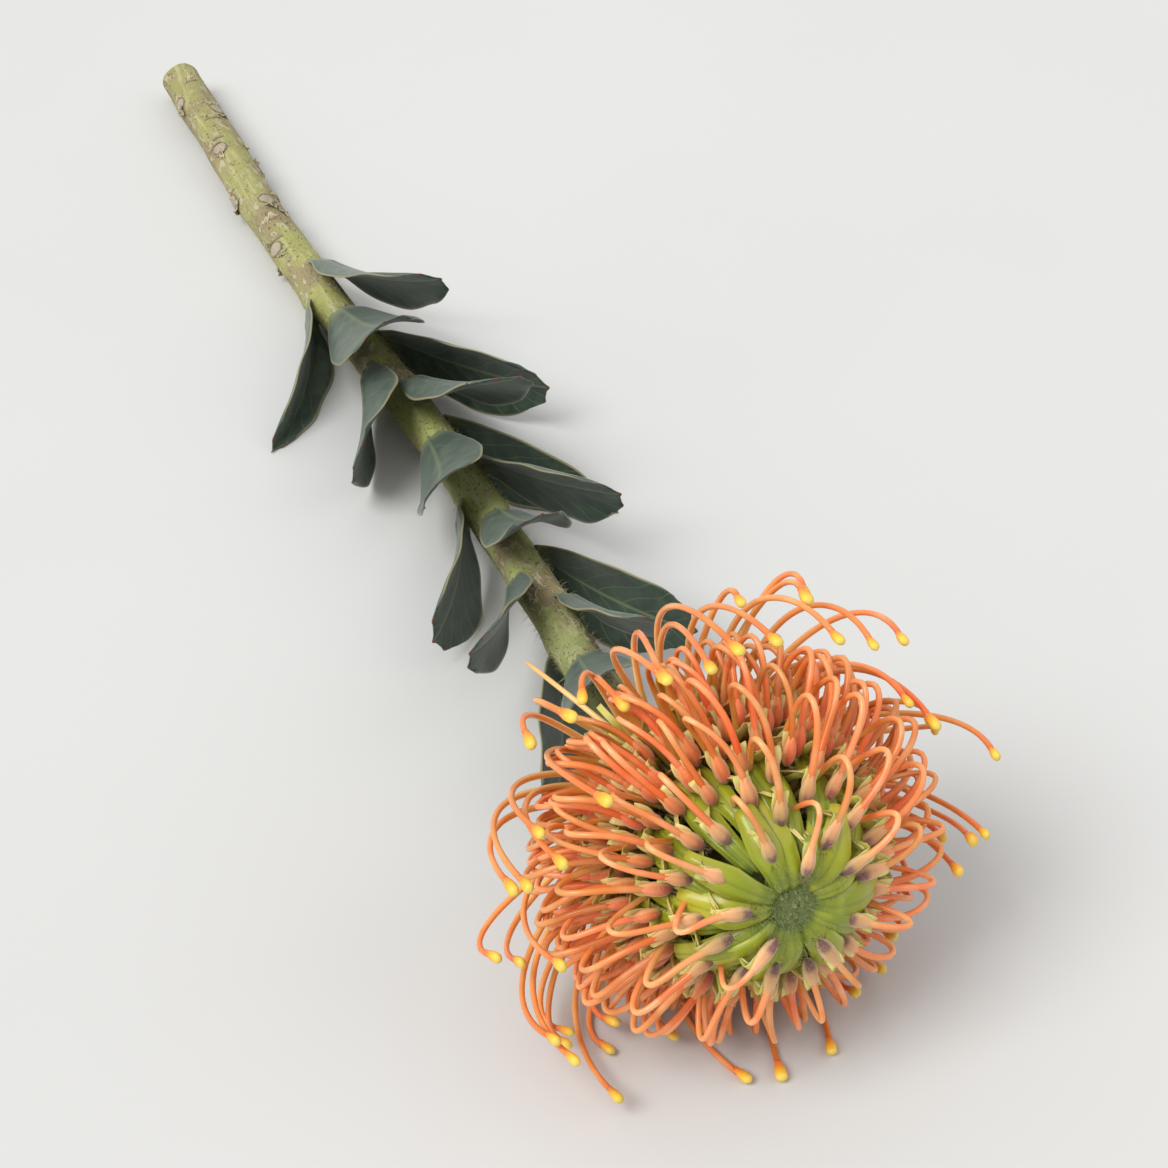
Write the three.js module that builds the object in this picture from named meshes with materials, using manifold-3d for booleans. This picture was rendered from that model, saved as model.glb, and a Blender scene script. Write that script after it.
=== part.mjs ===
// A pincushion protea flower, cut and lying on a table: stem, leaves, bract cup and flower head.
// Millimetres, +Z up. X runs along the stem, from its cut end to the crown of the flower head.

import * as THREE from "three";
import { mergeVertices } from "three/addons/utils/BufferGeometryUtils.js";
import Module from "manifold-3d";

const wasm = await Module();
wasm.setup();

// Driving dimensions of the stem
const CUT_RADIUS = 5.4; // at the cut end
const NECK_RADIUS = 4.5; // under the flower head
const STEM_SIDES = 12;
const REST_LENGTH = 70; // of the cut end, straight, with one flat side on the table
const NECK_X = 346; // where the flower head begins
const NECK_LIFT = 27; // rise of the stem's axis between the cut end and the neck
const NECK_LEAN = THREE.MathUtils.degToRad(15); // slope of the axis at the neck
const SWAY = 6; // sideways bow of the stem
const JOINT_GAP = 0.3; // between neighbouring pieces

// Driving dimensions of the leaves
const LEAF_COUNT = 16;
const FIRST_LEAF_X = 112;
const LAST_LEAF_X = 298;
const LEAF_THICKNESS = 0.9;
const LOW_LEAF = { length: 54, halfWidth: 13.5 };
const TOP_LEAF = { length: 36, halfWidth: 8.5 };
const LEAF_DIVERGENCE = 137.508; // degrees between one leaf and the next round the stem
const FIRST_LEAF_TURN = 62; // degrees from straight up
const SCAR_COUNT = 9; // of fallen leaves, on the bare stem
const SCAR_SPACING = 10.5;
const LEAF_OPENING = { base: 0.3, tip: 0.75 }; // radians between stem and blade
const LEAF_STEPS = 6; // along the blade
const LEAF_COLUMNS = [-1, -0.62, -0.31, 0, 0.31, 0.62, 1]; // across the blade, in half widths
const TOOTH_PLACES = [0, 0.62]; // of the middle tooth and of the one on each side
const TOOTH_LENGTH = 1.7;
const TIP_ROUNDING = 6; // by which the blade's corners fall short of its middle
const LEAF_SOFT_HEIGHT = 2; // above the table, where leaves begin to flatten on it

// Driving dimensions of the flower head, in its own frame: Z along its axis, from the base to the crown
const HEAD_RADIUS = 40; // to the outside of the hoops
const RELEASED_RADIUS = 50; // to the tips of the released styles
const CORE = { radius: 15, middle: 19, halfHeight: 26, bottom: 0.3, top: 40 };
const KNOB_SHELL = { radius: 27, middle: 21, halfHeight: 33 };
const HOOP_SHELL = { radius: HEAD_RADIUS, middle: 24, halfHeight: 31 };
const HOOPED_COUNT = 80;
const RELEASED_COUNT = 32;
const GOLDEN_ANGLE = THREE.MathUtils.degToRad(137.508);
const STYLE_RADIUS = 1.1;
const KNOB_RADIUS = 2.1;
const PERIANTH_RADIUS = 1.35;
const PRESENTER_RADIUS = 1.9;
const FLORET_SOFT_HEIGHT = 5; // above the table, where florets begin to bend away from it

// Driving dimensions of the bract cup and of the closed buds
const CUP = { bottom: -13, lowRadius: 5.2, topRadius: 9 };
const BRACT_ROWS = 3;
const BRACTS_IN_FIRST_ROW = 7;
const BRACT = { length: 9.5, halfWidth: 4.2, rise: 1.5 };
const EYE = { lowRadius: 7.6, topRadius: 8.6, bottom: CORE.top + JOINT_GAP, shoulder: 47, top: 50.5 };
const EYE_RIDGES = 13;
const BUD_COUNT = 18;

const { sin, cos, PI } = Math;
const mix = THREE.MathUtils.lerp;

/** A repeatable number from 0 to 1 for the piece with this index. */
function scatter(index, salt) {
  const wave = sin(index * 12.9898 + salt * 78.233) * 43758.5453;
  return wave - Math.floor(wave);
}

/** A repeatable number from -1 to 1. */
function jitter(index, salt) {
  return 2 * scatter(index, salt) - 1;
}

// Stem axis

function stemRadius(x) {
  return mix(CUT_RADIUS, NECK_RADIUS, x / NECK_X);
}

/** The axis at x, with the directions along it, up and to its side. */
function stemAxis(x) {
  const span = NECK_X - REST_LENGTH;
  const q = Math.max(0, (x - REST_LENGTH) / span);
  const endSlope = Math.tan(NECK_LEAN) * span;
  const square = 3 * NECK_LIFT - endSlope;
  const cube = endSlope - 2 * NECK_LIFT;
  const flatSide = stemRadius(x) * cos(PI / STEM_SIDES);
  const point = new THREE.Vector3(
    x,
    SWAY * sin(PI * q) ** 2,
    flatSide + square * q ** 2 + cube * q ** 3,
  );
  const along = new THREE.Vector3(
    1,
    (SWAY * PI * sin(2 * PI * q)) / span,
    (2 * square * q + 3 * cube * q ** 2) / span,
  ).normalize();
  const side = new THREE.Vector3(-along.y, along.x, 0).normalize();
  const up = along.clone().cross(side);
  return { point, along, side, up };
}

// Solids

/** A closed solid from a geometry whose coinciding vertices are merged. */
function toSolid(geometry) {
  geometry.deleteAttribute("normal");
  geometry.deleteAttribute("uv");
  const merged = mergeVertices(geometry, 1e-4);
  const index = merged.index.array;
  const triangles = [];
  for (let k = 0; k < index.length; k += 3) {
    const [a, b, c] = [index[k], index[k + 1], index[k + 2]];
    if (a !== b && b !== c && c !== a) triangles.push(a, b, c);
  }
  return new wasm.Manifold(
    new wasm.Mesh({
      numProp: 3,
      vertProperties: merged.attributes.position.array,
      triVerts: new Uint32Array(triangles),
    }),
  );
}

/** The outer body of several solids joined: scraps are dropped and sealed hollows filled. */
function fuse(geometries) {
  const joined = wasm.Manifold.union(geometries.map(toSolid));
  return joined
    .decompose()
    .reduce((most, body) => (body.volume() > most.volume() ? body : most));
}

function geometryOf(solid) {
  const mesh = solid.getMesh();
  const geometry = new THREE.BufferGeometry();
  geometry.setAttribute("position", new THREE.BufferAttribute(mesh.vertProperties, 3));
  geometry.setIndex(new THREE.BufferAttribute(mesh.triVerts, 1));
  geometry.computeVertexNormals();
  return geometry;
}

function indexedGeometry(points, triangles) {
  const geometry = new THREE.BufferGeometry().setFromPoints(points);
  geometry.setIndex(triangles);
  return geometry;
}

/** A closed tube through the centres, with its own radius at each and the given number of sides. */
function tube(centres, radii, sides, reference) {
  const points = [];
  const triangles = [];
  const last = centres.length - 1;
  centres.forEach((centre, ring) => {
    const along = centres[Math.min(ring + 1, last)].clone();
    along.sub(centres[Math.max(ring - 1, 0)]).normalize();
    const normal = along.clone().cross(reference).normalize();
    const binormal = along.clone().cross(normal);
    for (let k = 0; k < sides; k += 1) {
      const turn = (2 * PI * (k + 0.5)) / sides;
      const point = centre.clone();
      point.addScaledVector(normal, radii[ring] * cos(turn));
      point.addScaledVector(binormal, radii[ring] * sin(turn));
      points.push(point);
    }
  });
  for (let ring = 0; ring < last; ring += 1) {
    for (let k = 0; k < sides; k += 1) {
      const a = ring * sides + k;
      const b = ring * sides + ((k + 1) % sides);
      triangles.push(a, b, b + sides, a, b + sides, a + sides);
    }
  }
  for (let k = 1; k < sides - 1; k += 1) {
    triangles.push(0, k + 1, k);
    triangles.push(last * sides, last * sides + k, last * sides + k + 1);
  }
  return indexedGeometry(points, triangles);
}

function mesh(name, geometry, colour, roughness) {
  const material = new THREE.MeshStandardMaterial({ color: colour, roughness, metalness: 0 });
  const piece = new THREE.Mesh(geometry, material);
  piece.name = name;
  return piece;
}

// Stem

/**
 * Turn of a leaf round the stem, counted from straight up. The leaves under the stem are pushed out to
 * its sides by the table, and none is left closer to straight down than the given degrees.
 */
function spiralTurn(index, fromDown) {
  const turn = THREE.MathUtils.euclideanModulo(LEAF_DIVERGENCE * index + FIRST_LEAF_TURN, 360);
  const sideways = mix(fromDown, 180, Math.abs(turn - 180) / 180);
  return THREE.MathUtils.degToRad(180 + Math.sign(turn - 180) * sideways);
}

/** Direction out of the stem at this turn from straight up. */
function outOfStem({ side, up }, turn) {
  return up.clone().multiplyScalar(cos(turn)).addScaledVector(side, sin(turn));
}

/** A low pad on the stem, where a leaf has fallen. */
function leafScar(index) {
  const x = FIRST_LEAF_X - SCAR_SPACING * index;
  const axis = stemAxis(x);
  const out = outOfStem(axis, spiralTurn(-index, 50));
  const length = 5;
  const centres = [-0.5, -0.2, 0.2, 0.5].map((part) =>
    axis.point
      .clone()
      .addScaledVector(axis.along, part * length)
      .addScaledVector(out, stemRadius(x) - 1.3),
  );
  return tube(centres, [0.6, 1.75, 1.75, 0.6], 6, out);
}

function stem() {
  const end = NECK_X + (CUP.bottom - 2 * JOINT_GAP) * cos(NECK_LEAN);
  const rings = 26;
  const centres = [];
  const radii = [];
  for (let k = 0; k <= rings; k += 1) {
    const x = (end * k) / rings;
    centres.push(stemAxis(x).point);
    radii.push(stemRadius(x));
  }
  const scars = [];
  for (let k = 1; k <= SCAR_COUNT; k += 1) scars.push(leafScar(k));
  const horizontal = new THREE.Vector3(0, 1, 0);
  return geometryOf(fuse([tube(centres, radii, STEM_SIDES, horizontal), ...scars]));
}

// Leaves

/** Place and size of one leaf, from the lowest to the one under the flower head. */
function leafRule(index) {
  const t = index / (LEAF_COUNT - 1);
  return {
    x: mix(FIRST_LEAF_X, LAST_LEAF_X, t),
    turn: spiralTurn(index, mix(66, 40, t)),
    length: mix(LOW_LEAF.length, TOP_LEAF.length, t ** 1.3) * (1 + 0.08 * jitter(index, 1)),
    halfWidth: mix(LOW_LEAF.halfWidth, TOP_LEAF.halfWidth, t) * (1 + 0.08 * jitter(index, 2)),
    openAtBase: LEAF_OPENING.base + 0.08 * jitter(index, 3),
    openAtTip: LEAF_OPENING.tip + 0.2 * jitter(index, 4),
  };
}

/** Midrib of a leaf as points, each with the blade's outward normal. */
function midrib(rule) {
  const axis = stemAxis(rule.x);
  const { along } = axis;
  const out = outOfStem(axis, rule.turn);
  const clear = LEAF_THICKNESS / 2 + JOINT_GAP + 0.15;
  const start = axis.point.clone().addScaledVector(out, stemRadius(rule.x) + clear);
  const stations = [];
  for (let k = 0; k <= LEAF_STEPS; k += 1) {
    const u = k / LEAF_STEPS;
    const open = mix(rule.openAtBase, rule.openAtTip, u);
    const forward = along.clone().multiplyScalar(cos(open)).addScaledVector(out, sin(open));
    const normal = out.clone().multiplyScalar(cos(open)).addScaledVector(along, -sin(open));
    stations.push({ u, point: start.clone(), forward, normal });
    start.addScaledVector(forward, rule.length / LEAF_STEPS);
  }
  const across = along.clone().cross(out);
  return { stations, across };
}

/** How far beyond the blade's last row its edge reaches at v: three teeth on a rounded tip. */
function tipReach(v) {
  return (TOOTH_PLACES.includes(Math.abs(v)) ? TOOTH_LENGTH : 0) - TIP_ROUNDING * v ** 4;
}

/** A leaf: cupped round the stem at its base, flatter and waved towards its toothed tip. */
function leaf(index) {
  const rule = leafRule(index);
  const { stations, across } = midrib(rule);
  const middle = stations.map(({ u, point, forward, normal }) => {
    const halfWidth = rule.halfWidth * sin(0.3 + 2.13 * u); // widest at three fifths of its length
    const cupRadius = mix(stemRadius(rule.x) + 1.2, 24, u ** 0.8);
    return LEAF_COLUMNS.map((v) => {
      const turn = (v * halfWidth) / cupRadius;
      const wave = 0.9 * u * v * v * sin(7 * u + 3 * v + index);
      return point
        .clone()
        .addScaledVector(across, cupRadius * sin(turn))
        .addScaledVector(normal, wave - cupRadius * (1 - cos(turn)))
        .addScaledVector(forward, u ** 3 * tipReach(v));
    });
  });
  const lowest = LEAF_THICKNESS / 2;
  middle.flat().forEach((point) => point.setZ(heightOnTable(point.z, LEAF_SOFT_HEIGHT, lowest)));
  return bladeSolid(middle);
}

/** Height of something pliant that would reach below the table: it bends from the soft height down. */
function heightOnTable(z, softHeight, lowest) {
  return z < softHeight ? Math.max(lowest, softHeight * Math.exp(z / softHeight - 1)) : z;
}

/** A closed blade of even thickness round a grid of points, both faces split alike. */
function bladeSolid(grid) {
  const rows = grid.length;
  const columns = grid[0].length;
  const faces = [[], []];
  grid.forEach((row, i) =>
    row.forEach((point, j) => {
      const du = grid[Math.min(i + 1, rows - 1)][j].clone().sub(grid[Math.max(i - 1, 0)][j]);
      const dv = row[Math.min(j + 1, columns - 1)].clone().sub(row[Math.max(j - 1, 0)]);
      const half = du.cross(dv).normalize().multiplyScalar(LEAF_THICKNESS / 2);
      faces[0].push(point.clone().add(half));
      faces[1].push(point.clone().sub(half));
    }),
  );
  const points = faces.flat();
  points.forEach((point) => point.setZ(Math.max(0, point.z)));
  const lower = rows * columns;
  const at = (i, j) => i * columns + j;
  const triangles = [];
  for (let i = 0; i < rows - 1; i += 1) {
    for (let j = 0; j < columns - 1; j += 1) {
      const [a, b, c, d] = [at(i, j), at(i + 1, j), at(i + 1, j + 1), at(i, j + 1)];
      triangles.push(a, b, c, a, c, d);
      triangles.push(lower + a, lower + c, lower + b, lower + a, lower + d, lower + c);
    }
  }
  const rim = [];
  for (let i = 0; i < rows; i += 1) rim.push(at(i, 0));
  for (let j = 1; j < columns; j += 1) rim.push(at(rows - 1, j));
  for (let i = rows - 2; i >= 0; i -= 1) rim.push(at(i, columns - 1));
  for (let j = columns - 2; j > 0; j -= 1) rim.push(at(0, j));
  rim.forEach((a, k) => {
    const b = rim[(k + 1) % rim.length];
    triangles.push(a, lower + a, lower + b, a, lower + b, b);
  });
  return indexedGeometry(points, triangles);
}

// Flower head

const neck = stemAxis(NECK_X);
const head = new THREE.Group();
head.matrix.makeBasis(neck.up, neck.side.clone().negate(), neck.along);
head.matrix.setPosition(neck.point);
head.matrix.decompose(head.position, head.quaternion, head.scale);
const headToTable = head.matrix;
const tableToHead = headToTable.clone().invert();

/** Bends a floret's point away from the table, which the head rests on. */
function press(point, lowest) {
  point.applyMatrix4(headToTable);
  const height = heightOnTable(point.z, FLORET_SOFT_HEIGHT, lowest);
  point.y += 0.3 * (height - point.z) * THREE.MathUtils.clamp(point.y / 20, -1, 1);
  point.z = height;
  return point.applyMatrix4(tableToHead);
}

/** Nothing of the head reaches below the table. */
function flattenOnTable(geometry) {
  const position = geometry.attributes.position;
  const point = new THREE.Vector3();
  for (let k = 0; k < position.count; k += 1) {
    point.fromBufferAttribute(position, k).applyMatrix4(headToTable);
    point.setZ(Math.max(0, point.z)).applyMatrix4(tableToHead);
    position.setXYZ(k, point.x, point.y, point.z);
  }
  return geometry;
}

/** A point of a shell of florets, at this angle from the crown: x from the axis, y along it. */
function shellPoint(shell, degrees) {
  const angle = THREE.MathUtils.degToRad(degrees);
  return new THREE.Vector2(shell.radius * sin(angle), shell.middle + shell.halfHeight * cos(angle));
}

/** The curves of a hooped floret, in the plane of the head's axis. t: 0 lowest row, 1 at the crown. */
function hoopedFloret(index, t) {
  const knobAngle = mix(98, 27, t) + 3 * (1 - t) * jitter(index, 7);
  const root = new THREE.Vector2(mix(7, 8.6, t), mix(4, 34, t));
  const knob = shellPoint(KNOB_SHELL, knobAngle);
  const turn = shellPoint(HOOP_SHELL, knobAngle + mix(27, 24, t) + 2 * jitter(index, 8));
  const turnRadius = mix(8.5, 3.6, t ** 0.7);
  const fromRoot = turn.clone().sub(root);
  const fromKnob = turn.clone().sub(knob);
  const out = fromRoot.clone().normalize().add(fromKnob.clone().normalize()).normalize();
  const crownward = new THREE.Vector2(-out.y, out.x);
  const lean = THREE.MathUtils.degToRad(mix(105, 38, t ** 0.8));
  const leave = new THREE.Vector2(sin(lean), cos(lean));
  const knobOut = out.clone().addScaledVector(crownward, mix(0.35, 0.1, t)).normalize();
  const lowerLeg = new THREE.CubicBezierCurve(
    root,
    root.clone().addScaledVector(leave, 0.5 * fromRoot.length()),
    turn.clone().addScaledVector(crownward, -1.9 * turnRadius).addScaledVector(out, -0.3 * turnRadius),
    turn,
  );
  const upperLeg = new THREE.CubicBezierCurve(
    turn,
    turn.clone().addScaledVector(crownward, 1.25 * turnRadius),
    knob.clone().addScaledVector(knobOut, 0.55 * fromKnob.length()),
    knob,
  );
  const perianth = new THREE.CubicBezierCurve(
    knob,
    knob.clone().addScaledVector(knobOut, -3),
    root.clone().lerp(knob, 0.5).addScaledVector(crownward, 1.5),
    root,
  );
  return { lowerLeg, upperLeg, perianth };
}

/** The curve of a released style, whose tip turns towards the crown. */
function releasedStyle(index, t) {
  const reach = RELEASED_RADIUS * (1 + 0.04 * jitter(index, 5));
  const tipHeight = 27 + 8 * jitter(index, 6);
  return new THREE.CubicBezierCurve(
    new THREE.Vector2(7, mix(2.5, 7, t)),
    new THREE.Vector2(28, mix(-4, 0, t)),
    new THREE.Vector2(reach, mix(2, 10, t)),
    new THREE.Vector2(reach, tipHeight),
  );
}

/** Lowest parameter at which the curve is no deeper than this inside the core. */
function emergence(curve, depth) {
  const steps = 40;
  for (let k = 0; k < steps; k += 1) {
    const { x, y } = curve.getPoint(k / steps);
    const ring = 1 - ((y - CORE.middle) / CORE.halfHeight) ** 2;
    if (x > CORE.radius * Math.sqrt(ring) - depth) return k / steps;
  }
  return 0;
}

function samples(curve, from, to, count) {
  const points = [];
  for (let k = 0; k < count; k += 1) points.push(curve.getPoint(mix(from, to, k / (count - 1))));
  return points;
}

/** Turns plane points round the head's axis and bends them off the table. */
function placeRound(planePoints, azimuth, radii) {
  return planePoints.map(({ x, y }, k) =>
    press(new THREE.Vector3(x * cos(azimuth), x * sin(azimuth), y), 0.55 * radii[k]),
  );
}

function aroundAxis(azimuth) {
  return new THREE.Vector3(-sin(azimuth), cos(azimuth), 0);
}

/** Style, limb and perianth of one hooped floret as a single closed tube, both ends in the core. */
function hoopedSolid(index, t, azimuth) {
  const { lowerLeg, upperLeg, perianth } = hoopedFloret(index, t);
  const inverse = new THREE.CubicBezierCurve(perianth.v3, perianth.v2, perianth.v1, perianth.v0);
  const style = samples(lowerLeg, emergence(lowerLeg, 2), 1, 6);
  const backLeg = samples(upperLeg, 0, 1, 6).slice(1);
  const claw = samples(inverse, 1, emergence(inverse, 2), 4).slice(1);
  const radii = [
    ...style.map(() => STYLE_RADIUS),
    ...backLeg.map((_, k) => (k < 3 ? STYLE_RADIUS : KNOB_RADIUS * (k === 3 ? 0.75 : 1))),
    ...claw.map(() => PERIANTH_RADIUS),
  ];
  const centres = placeRound([...style, ...backLeg, ...claw], azimuth, radii);
  return tube(centres, radii, 3, aroundAxis(azimuth));
}

/** One released style with the swollen pollen presenter at its tip. */
function releasedSolid(index, t, azimuth) {
  const curve = releasedStyle(index, t);
  const points = samples(curve, emergence(curve, 2), 1, 9);
  const radii = [1.2, 1.2, 1.1, 1.1, 1, 1, 1, PRESENTER_RADIUS, 0.9];
  return tube(placeRound(points, azimuth, radii), radii, 3, aroundAxis(azimuth));
}

/** The narrow swollen end of the stem that every floret grows from. */
function headCore() {
  const rings = 7;
  const profile = [new THREE.Vector2(0, CORE.bottom)];
  for (let k = 0; k <= rings; k += 1) {
    const z = mix(CORE.bottom, CORE.top, k / rings);
    const ring = 1 - ((z - CORE.middle) / CORE.halfHeight) ** 2;
    profile.push(new THREE.Vector2(CORE.radius * Math.sqrt(ring), z));
  }
  profile.push(new THREE.Vector2(0, CORE.top));
  return uprightLathe(profile, 14);
}

/** A lathe shape about the Z axis. */
function uprightLathe(profile, sides) {
  return new THREE.LatheGeometry(profile, sides).rotateX(PI / 2);
}

function flowerHead() {
  const florets = [];
  for (let k = 0; k < RELEASED_COUNT; k += 1) {
    florets.push(releasedSolid(k, k / (RELEASED_COUNT - 1), k * GOLDEN_ANGLE));
  }
  for (let k = 0; k < HOOPED_COUNT; k += 1) {
    const azimuth = (RELEASED_COUNT + k) * GOLDEN_ANGLE;
    florets.push(hoopedSolid(k, k / (HOOPED_COUNT - 1), azimuth));
  }
  return geometryOf(fuse([headCore(), ...florets.map(flattenOnTable)]));
}

// Closed buds at the crown

/** The green eye: a dome with radiating ridges, its edge clear of the florets round it. */
function eyeDome() {
  const around = 2 * EYE_RIDGES;
  const levels = [
    { radius: EYE.lowRadius, z: EYE.bottom, ridge: 0 },
    { radius: EYE.topRadius, z: EYE.shoulder, ridge: 0.8 },
    { radius: 0.75 * EYE.topRadius, z: mix(EYE.shoulder, EYE.top, 0.75), ridge: 0.6 },
    { radius: 0.4 * EYE.topRadius, z: EYE.top, ridge: 0.4 },
  ];
  const points = [new THREE.Vector3(0, 0, EYE.bottom)];
  levels.forEach(({ radius, z, ridge }) => {
    for (let k = 0; k < around; k += 1) {
      const turn = (2 * PI * k) / around;
      const bump = k % 2 ? -ridge : 0;
      points.push(new THREE.Vector3((radius + bump) * cos(turn), (radius + bump) * sin(turn), z + bump));
    }
  });
  points.push(new THREE.Vector3(0, 0, EYE.top - 1));
  const triangles = [];
  const last = points.length - 1;
  for (let k = 0; k < around; k += 1) {
    const next = (k + 1) % around;
    triangles.push(0, 1 + next, 1 + k);
    for (let level = 0; level < levels.length - 1; level += 1) {
      const low = 1 + level * around;
      const high = low + around;
      triangles.push(low + k, low + next, high + next, low + k, high + next, high + k);
    }
    triangles.push(last, last - around + k, last - around + next);
  }
  return indexedGeometry(points, triangles);
}

/** A closed floret bud that leans over the eye. */
function closedBud(index) {
  const azimuth = index * GOLDEN_ANGLE;
  const radius = mix(2.2, 6.6, Math.sqrt(index / (BUD_COUNT - 1)));
  const foot = new THREE.Vector2(radius * 0.95, 44);
  const neckOfBud = new THREE.Vector2(radius + 0.4, 49);
  const tip = new THREE.Vector2(radius * 0.72, 53 - 0.1 * radius);
  const centres = [foot, neckOfBud, tip].map(
    ({ x, y }) => new THREE.Vector3(x * cos(azimuth), x * sin(azimuth), y),
  );
  return tube(centres, [0.9, 1.35, 0.8], 4, aroundAxis(azimuth));
}

function crownBuds() {
  const buds = Array.from({ length: BUD_COUNT }, (_, k) => closedBud(k));
  return geometryOf(fuse([eyeDome(), ...buds]));
}

// Bract cup

/** One pointed bract, its base sunk in the cup and its tip standing a little off it. */
function bract(row, place) {
  const part = row / (BRACT_ROWS - 1);
  const inRow = BRACTS_IN_FIRST_ROW + row;
  const azimuth = (2 * PI * (place + 0.5 * (row % 2))) / inRow;
  const base = mix(CUP.bottom + 0.4, -8, part);
  const height = mix(0.75, 1, part) * BRACT.length * 0.7;
  const radiusAt = (z) => mix(CUP.lowRadius, CUP.topRadius, ((z - CUP.bottom) / -CUP.bottom) ** 0.6);
  const at = (z, across, outward) => {
    const radius = radiusAt(Math.min(z, 0)) + outward;
    const turn = azimuth + across / radius;
    return new THREE.Vector3(radius * cos(turn), radius * sin(turn), z);
  };
  const points = [
    at(base, 0, 0.2),
    at(base + 0.45 * height, BRACT.halfWidth, 0.1),
    at(base + height, 0, BRACT.rise),
    at(base + 0.45 * height, -BRACT.halfWidth, 0.1),
    at(base + 0.4 * height, 0, 1),
    at(base + 0.4 * height, 0, -1.2),
  ];
  const triangles = [];
  for (let k = 0; k < 4; k += 1) {
    const next = (k + 1) % 4;
    triangles.push(4, k, next, 5, next, k);
  }
  return indexedGeometry(points, triangles);
}

function bractCup() {
  const profile = [new THREE.Vector2(0, CUP.bottom)];
  for (let k = 0; k <= 4; k += 1) {
    const radius = mix(CUP.lowRadius, CUP.topRadius, (k / 4) ** 0.6);
    profile.push(new THREE.Vector2(radius, mix(CUP.bottom, 0, k / 4)));
  }
  profile.push(new THREE.Vector2(0, 0));
  const bracts = [];
  for (let row = 0; row < BRACT_ROWS; row += 1) {
    for (let place = 0; place < BRACTS_IN_FIRST_ROW + row; place += 1) bracts.push(bract(row, place));
  }
  return geometryOf(fuse([uprightLathe(profile, 14), ...bracts]));
}

// Assembly

const flower = new THREE.Group();
flower.name = "pincushion_protea";

flower.add(mesh("stem", stem(), 0x9aa060, 0.7));
for (let index = 0; index < LEAF_COUNT; index += 1) {
  const name = `leaf_${String(index + 1).padStart(2, "0")}`;
  flower.add(mesh(name, leaf(index), 0x2f4a3c, 0.55));
}

head.add(mesh("involucre", bractCup(), 0x8c9a72, 0.85));
head.add(mesh("flower_head", flowerHead(), 0xee7b4a, 0.5));
head.add(mesh("crown_buds", crownBuds(), 0x8fa326, 0.45));
flower.add(head);

// The origin is the middle of the lying flower's footprint
flower.updateMatrixWorld(true);
const bounds = new THREE.Box3().setFromObject(flower, true);
const middle = bounds.getCenter(new THREE.Vector3());
flower.position.set(-middle.x, -middle.y, 0);

export default flower;
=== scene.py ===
"""The looks of a cut pincushion protea flower that lies on a table.

Shapes are worked out in millimetres in the plant's own frame: X runs along the stem from the middle
of its cut end, and Z is up from the table. add_piece() puts them in the CAD frame, in metres. Angles
in the named values below are in degrees, unless they say otherwise.

Nothing is random. scatter() and jitter() give every repeat numbers of its own, and the salt that they
take only tells one draw from another.
"""

import math
from types import SimpleNamespace

import bpy
import numpy as np
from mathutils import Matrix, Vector


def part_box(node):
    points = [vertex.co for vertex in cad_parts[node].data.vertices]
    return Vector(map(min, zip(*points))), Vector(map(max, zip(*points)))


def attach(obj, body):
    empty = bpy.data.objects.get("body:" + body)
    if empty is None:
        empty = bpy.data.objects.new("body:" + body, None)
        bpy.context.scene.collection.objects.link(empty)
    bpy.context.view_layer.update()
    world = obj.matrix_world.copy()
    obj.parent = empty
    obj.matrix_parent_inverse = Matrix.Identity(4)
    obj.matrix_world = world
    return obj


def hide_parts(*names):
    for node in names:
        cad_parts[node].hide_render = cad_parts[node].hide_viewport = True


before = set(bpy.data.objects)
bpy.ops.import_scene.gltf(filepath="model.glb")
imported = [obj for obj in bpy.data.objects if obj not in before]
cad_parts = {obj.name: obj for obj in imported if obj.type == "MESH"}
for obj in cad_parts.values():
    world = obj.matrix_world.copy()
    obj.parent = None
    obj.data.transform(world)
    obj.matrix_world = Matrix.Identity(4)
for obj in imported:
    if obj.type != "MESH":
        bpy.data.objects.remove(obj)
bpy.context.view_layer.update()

MM = 0.001
SPIRAL_DEGREES = 137.508
GOLDEN_ANGLE = math.radians(SPIRAL_DEGREES)
SINE_HASH = {"index": 12.9898, "salt": 78.233, "gain": 43758.5453}

# Stem
CUT_RADIUS = 5.4
NECK_RADIUS = 4.5
STEM_SIDES = 12
REST_LENGTH = 70
NECK_X = 346
NECK_LIFT = 27
NECK_LEAN = math.radians(15)
SWAY = 6
STEM_RINGS = 420
STEM_COLUMNS = 64
# The rings of the straight cut: their places along the stem, and their sizes as shares of its width
CUT_RINGS = {"x": (0, 0, 0, 0, 0.1), "size": (0.03, 0.4, 0.7, 0.93, 0.985), "skin_from": 0.35}
LOWEST_BARK = 0.03
CLEAR_OF_TABLE = 1.5
SCAR_COUNT = 9
SCAR_SPACING = 10.5
SCAR = {"half_length": 2.6, "half_width": 2.3, "height": 0.5, "rim": 0.22, "from_down": 50}
LEAF_FOOT = {"height": 0.55, "half_length": 4, "half_width": 3.4, "stem_radius": 5}
FLAKES = 34
FLAKE_THICKNESS = 0.13
STEM_HAIRS = 2600

# Leaves
LEAF_COUNT = 16
FIRST_LEAF_X = 112
LAST_LEAF_X = 298
LOW_LEAF = {"length": 54, "half_width": 13.5, "from_down": 66}
TOP_LEAF = {"length": 36, "half_width": 8.5, "from_down": 40}
FIRST_LEAF_TURN = 62  # from straight up
LEAF_OPENING = {"base": 0.3, "tip": 0.75}  # radians between the stem and the blade
LEAF_THICKNESS = 0.7
MIDRIB_THICKNESS = 0.55
TIP_BEND_RADIUS = 24
TOOTH_PLACES = (-0.62, 0, 0.62)
TOOTH_LENGTH = 1.15
TIP_ROUNDING = 0.107
LEAF_SOFT_HEIGHT = 2
LOWEST_LEAF = 0.5
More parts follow.
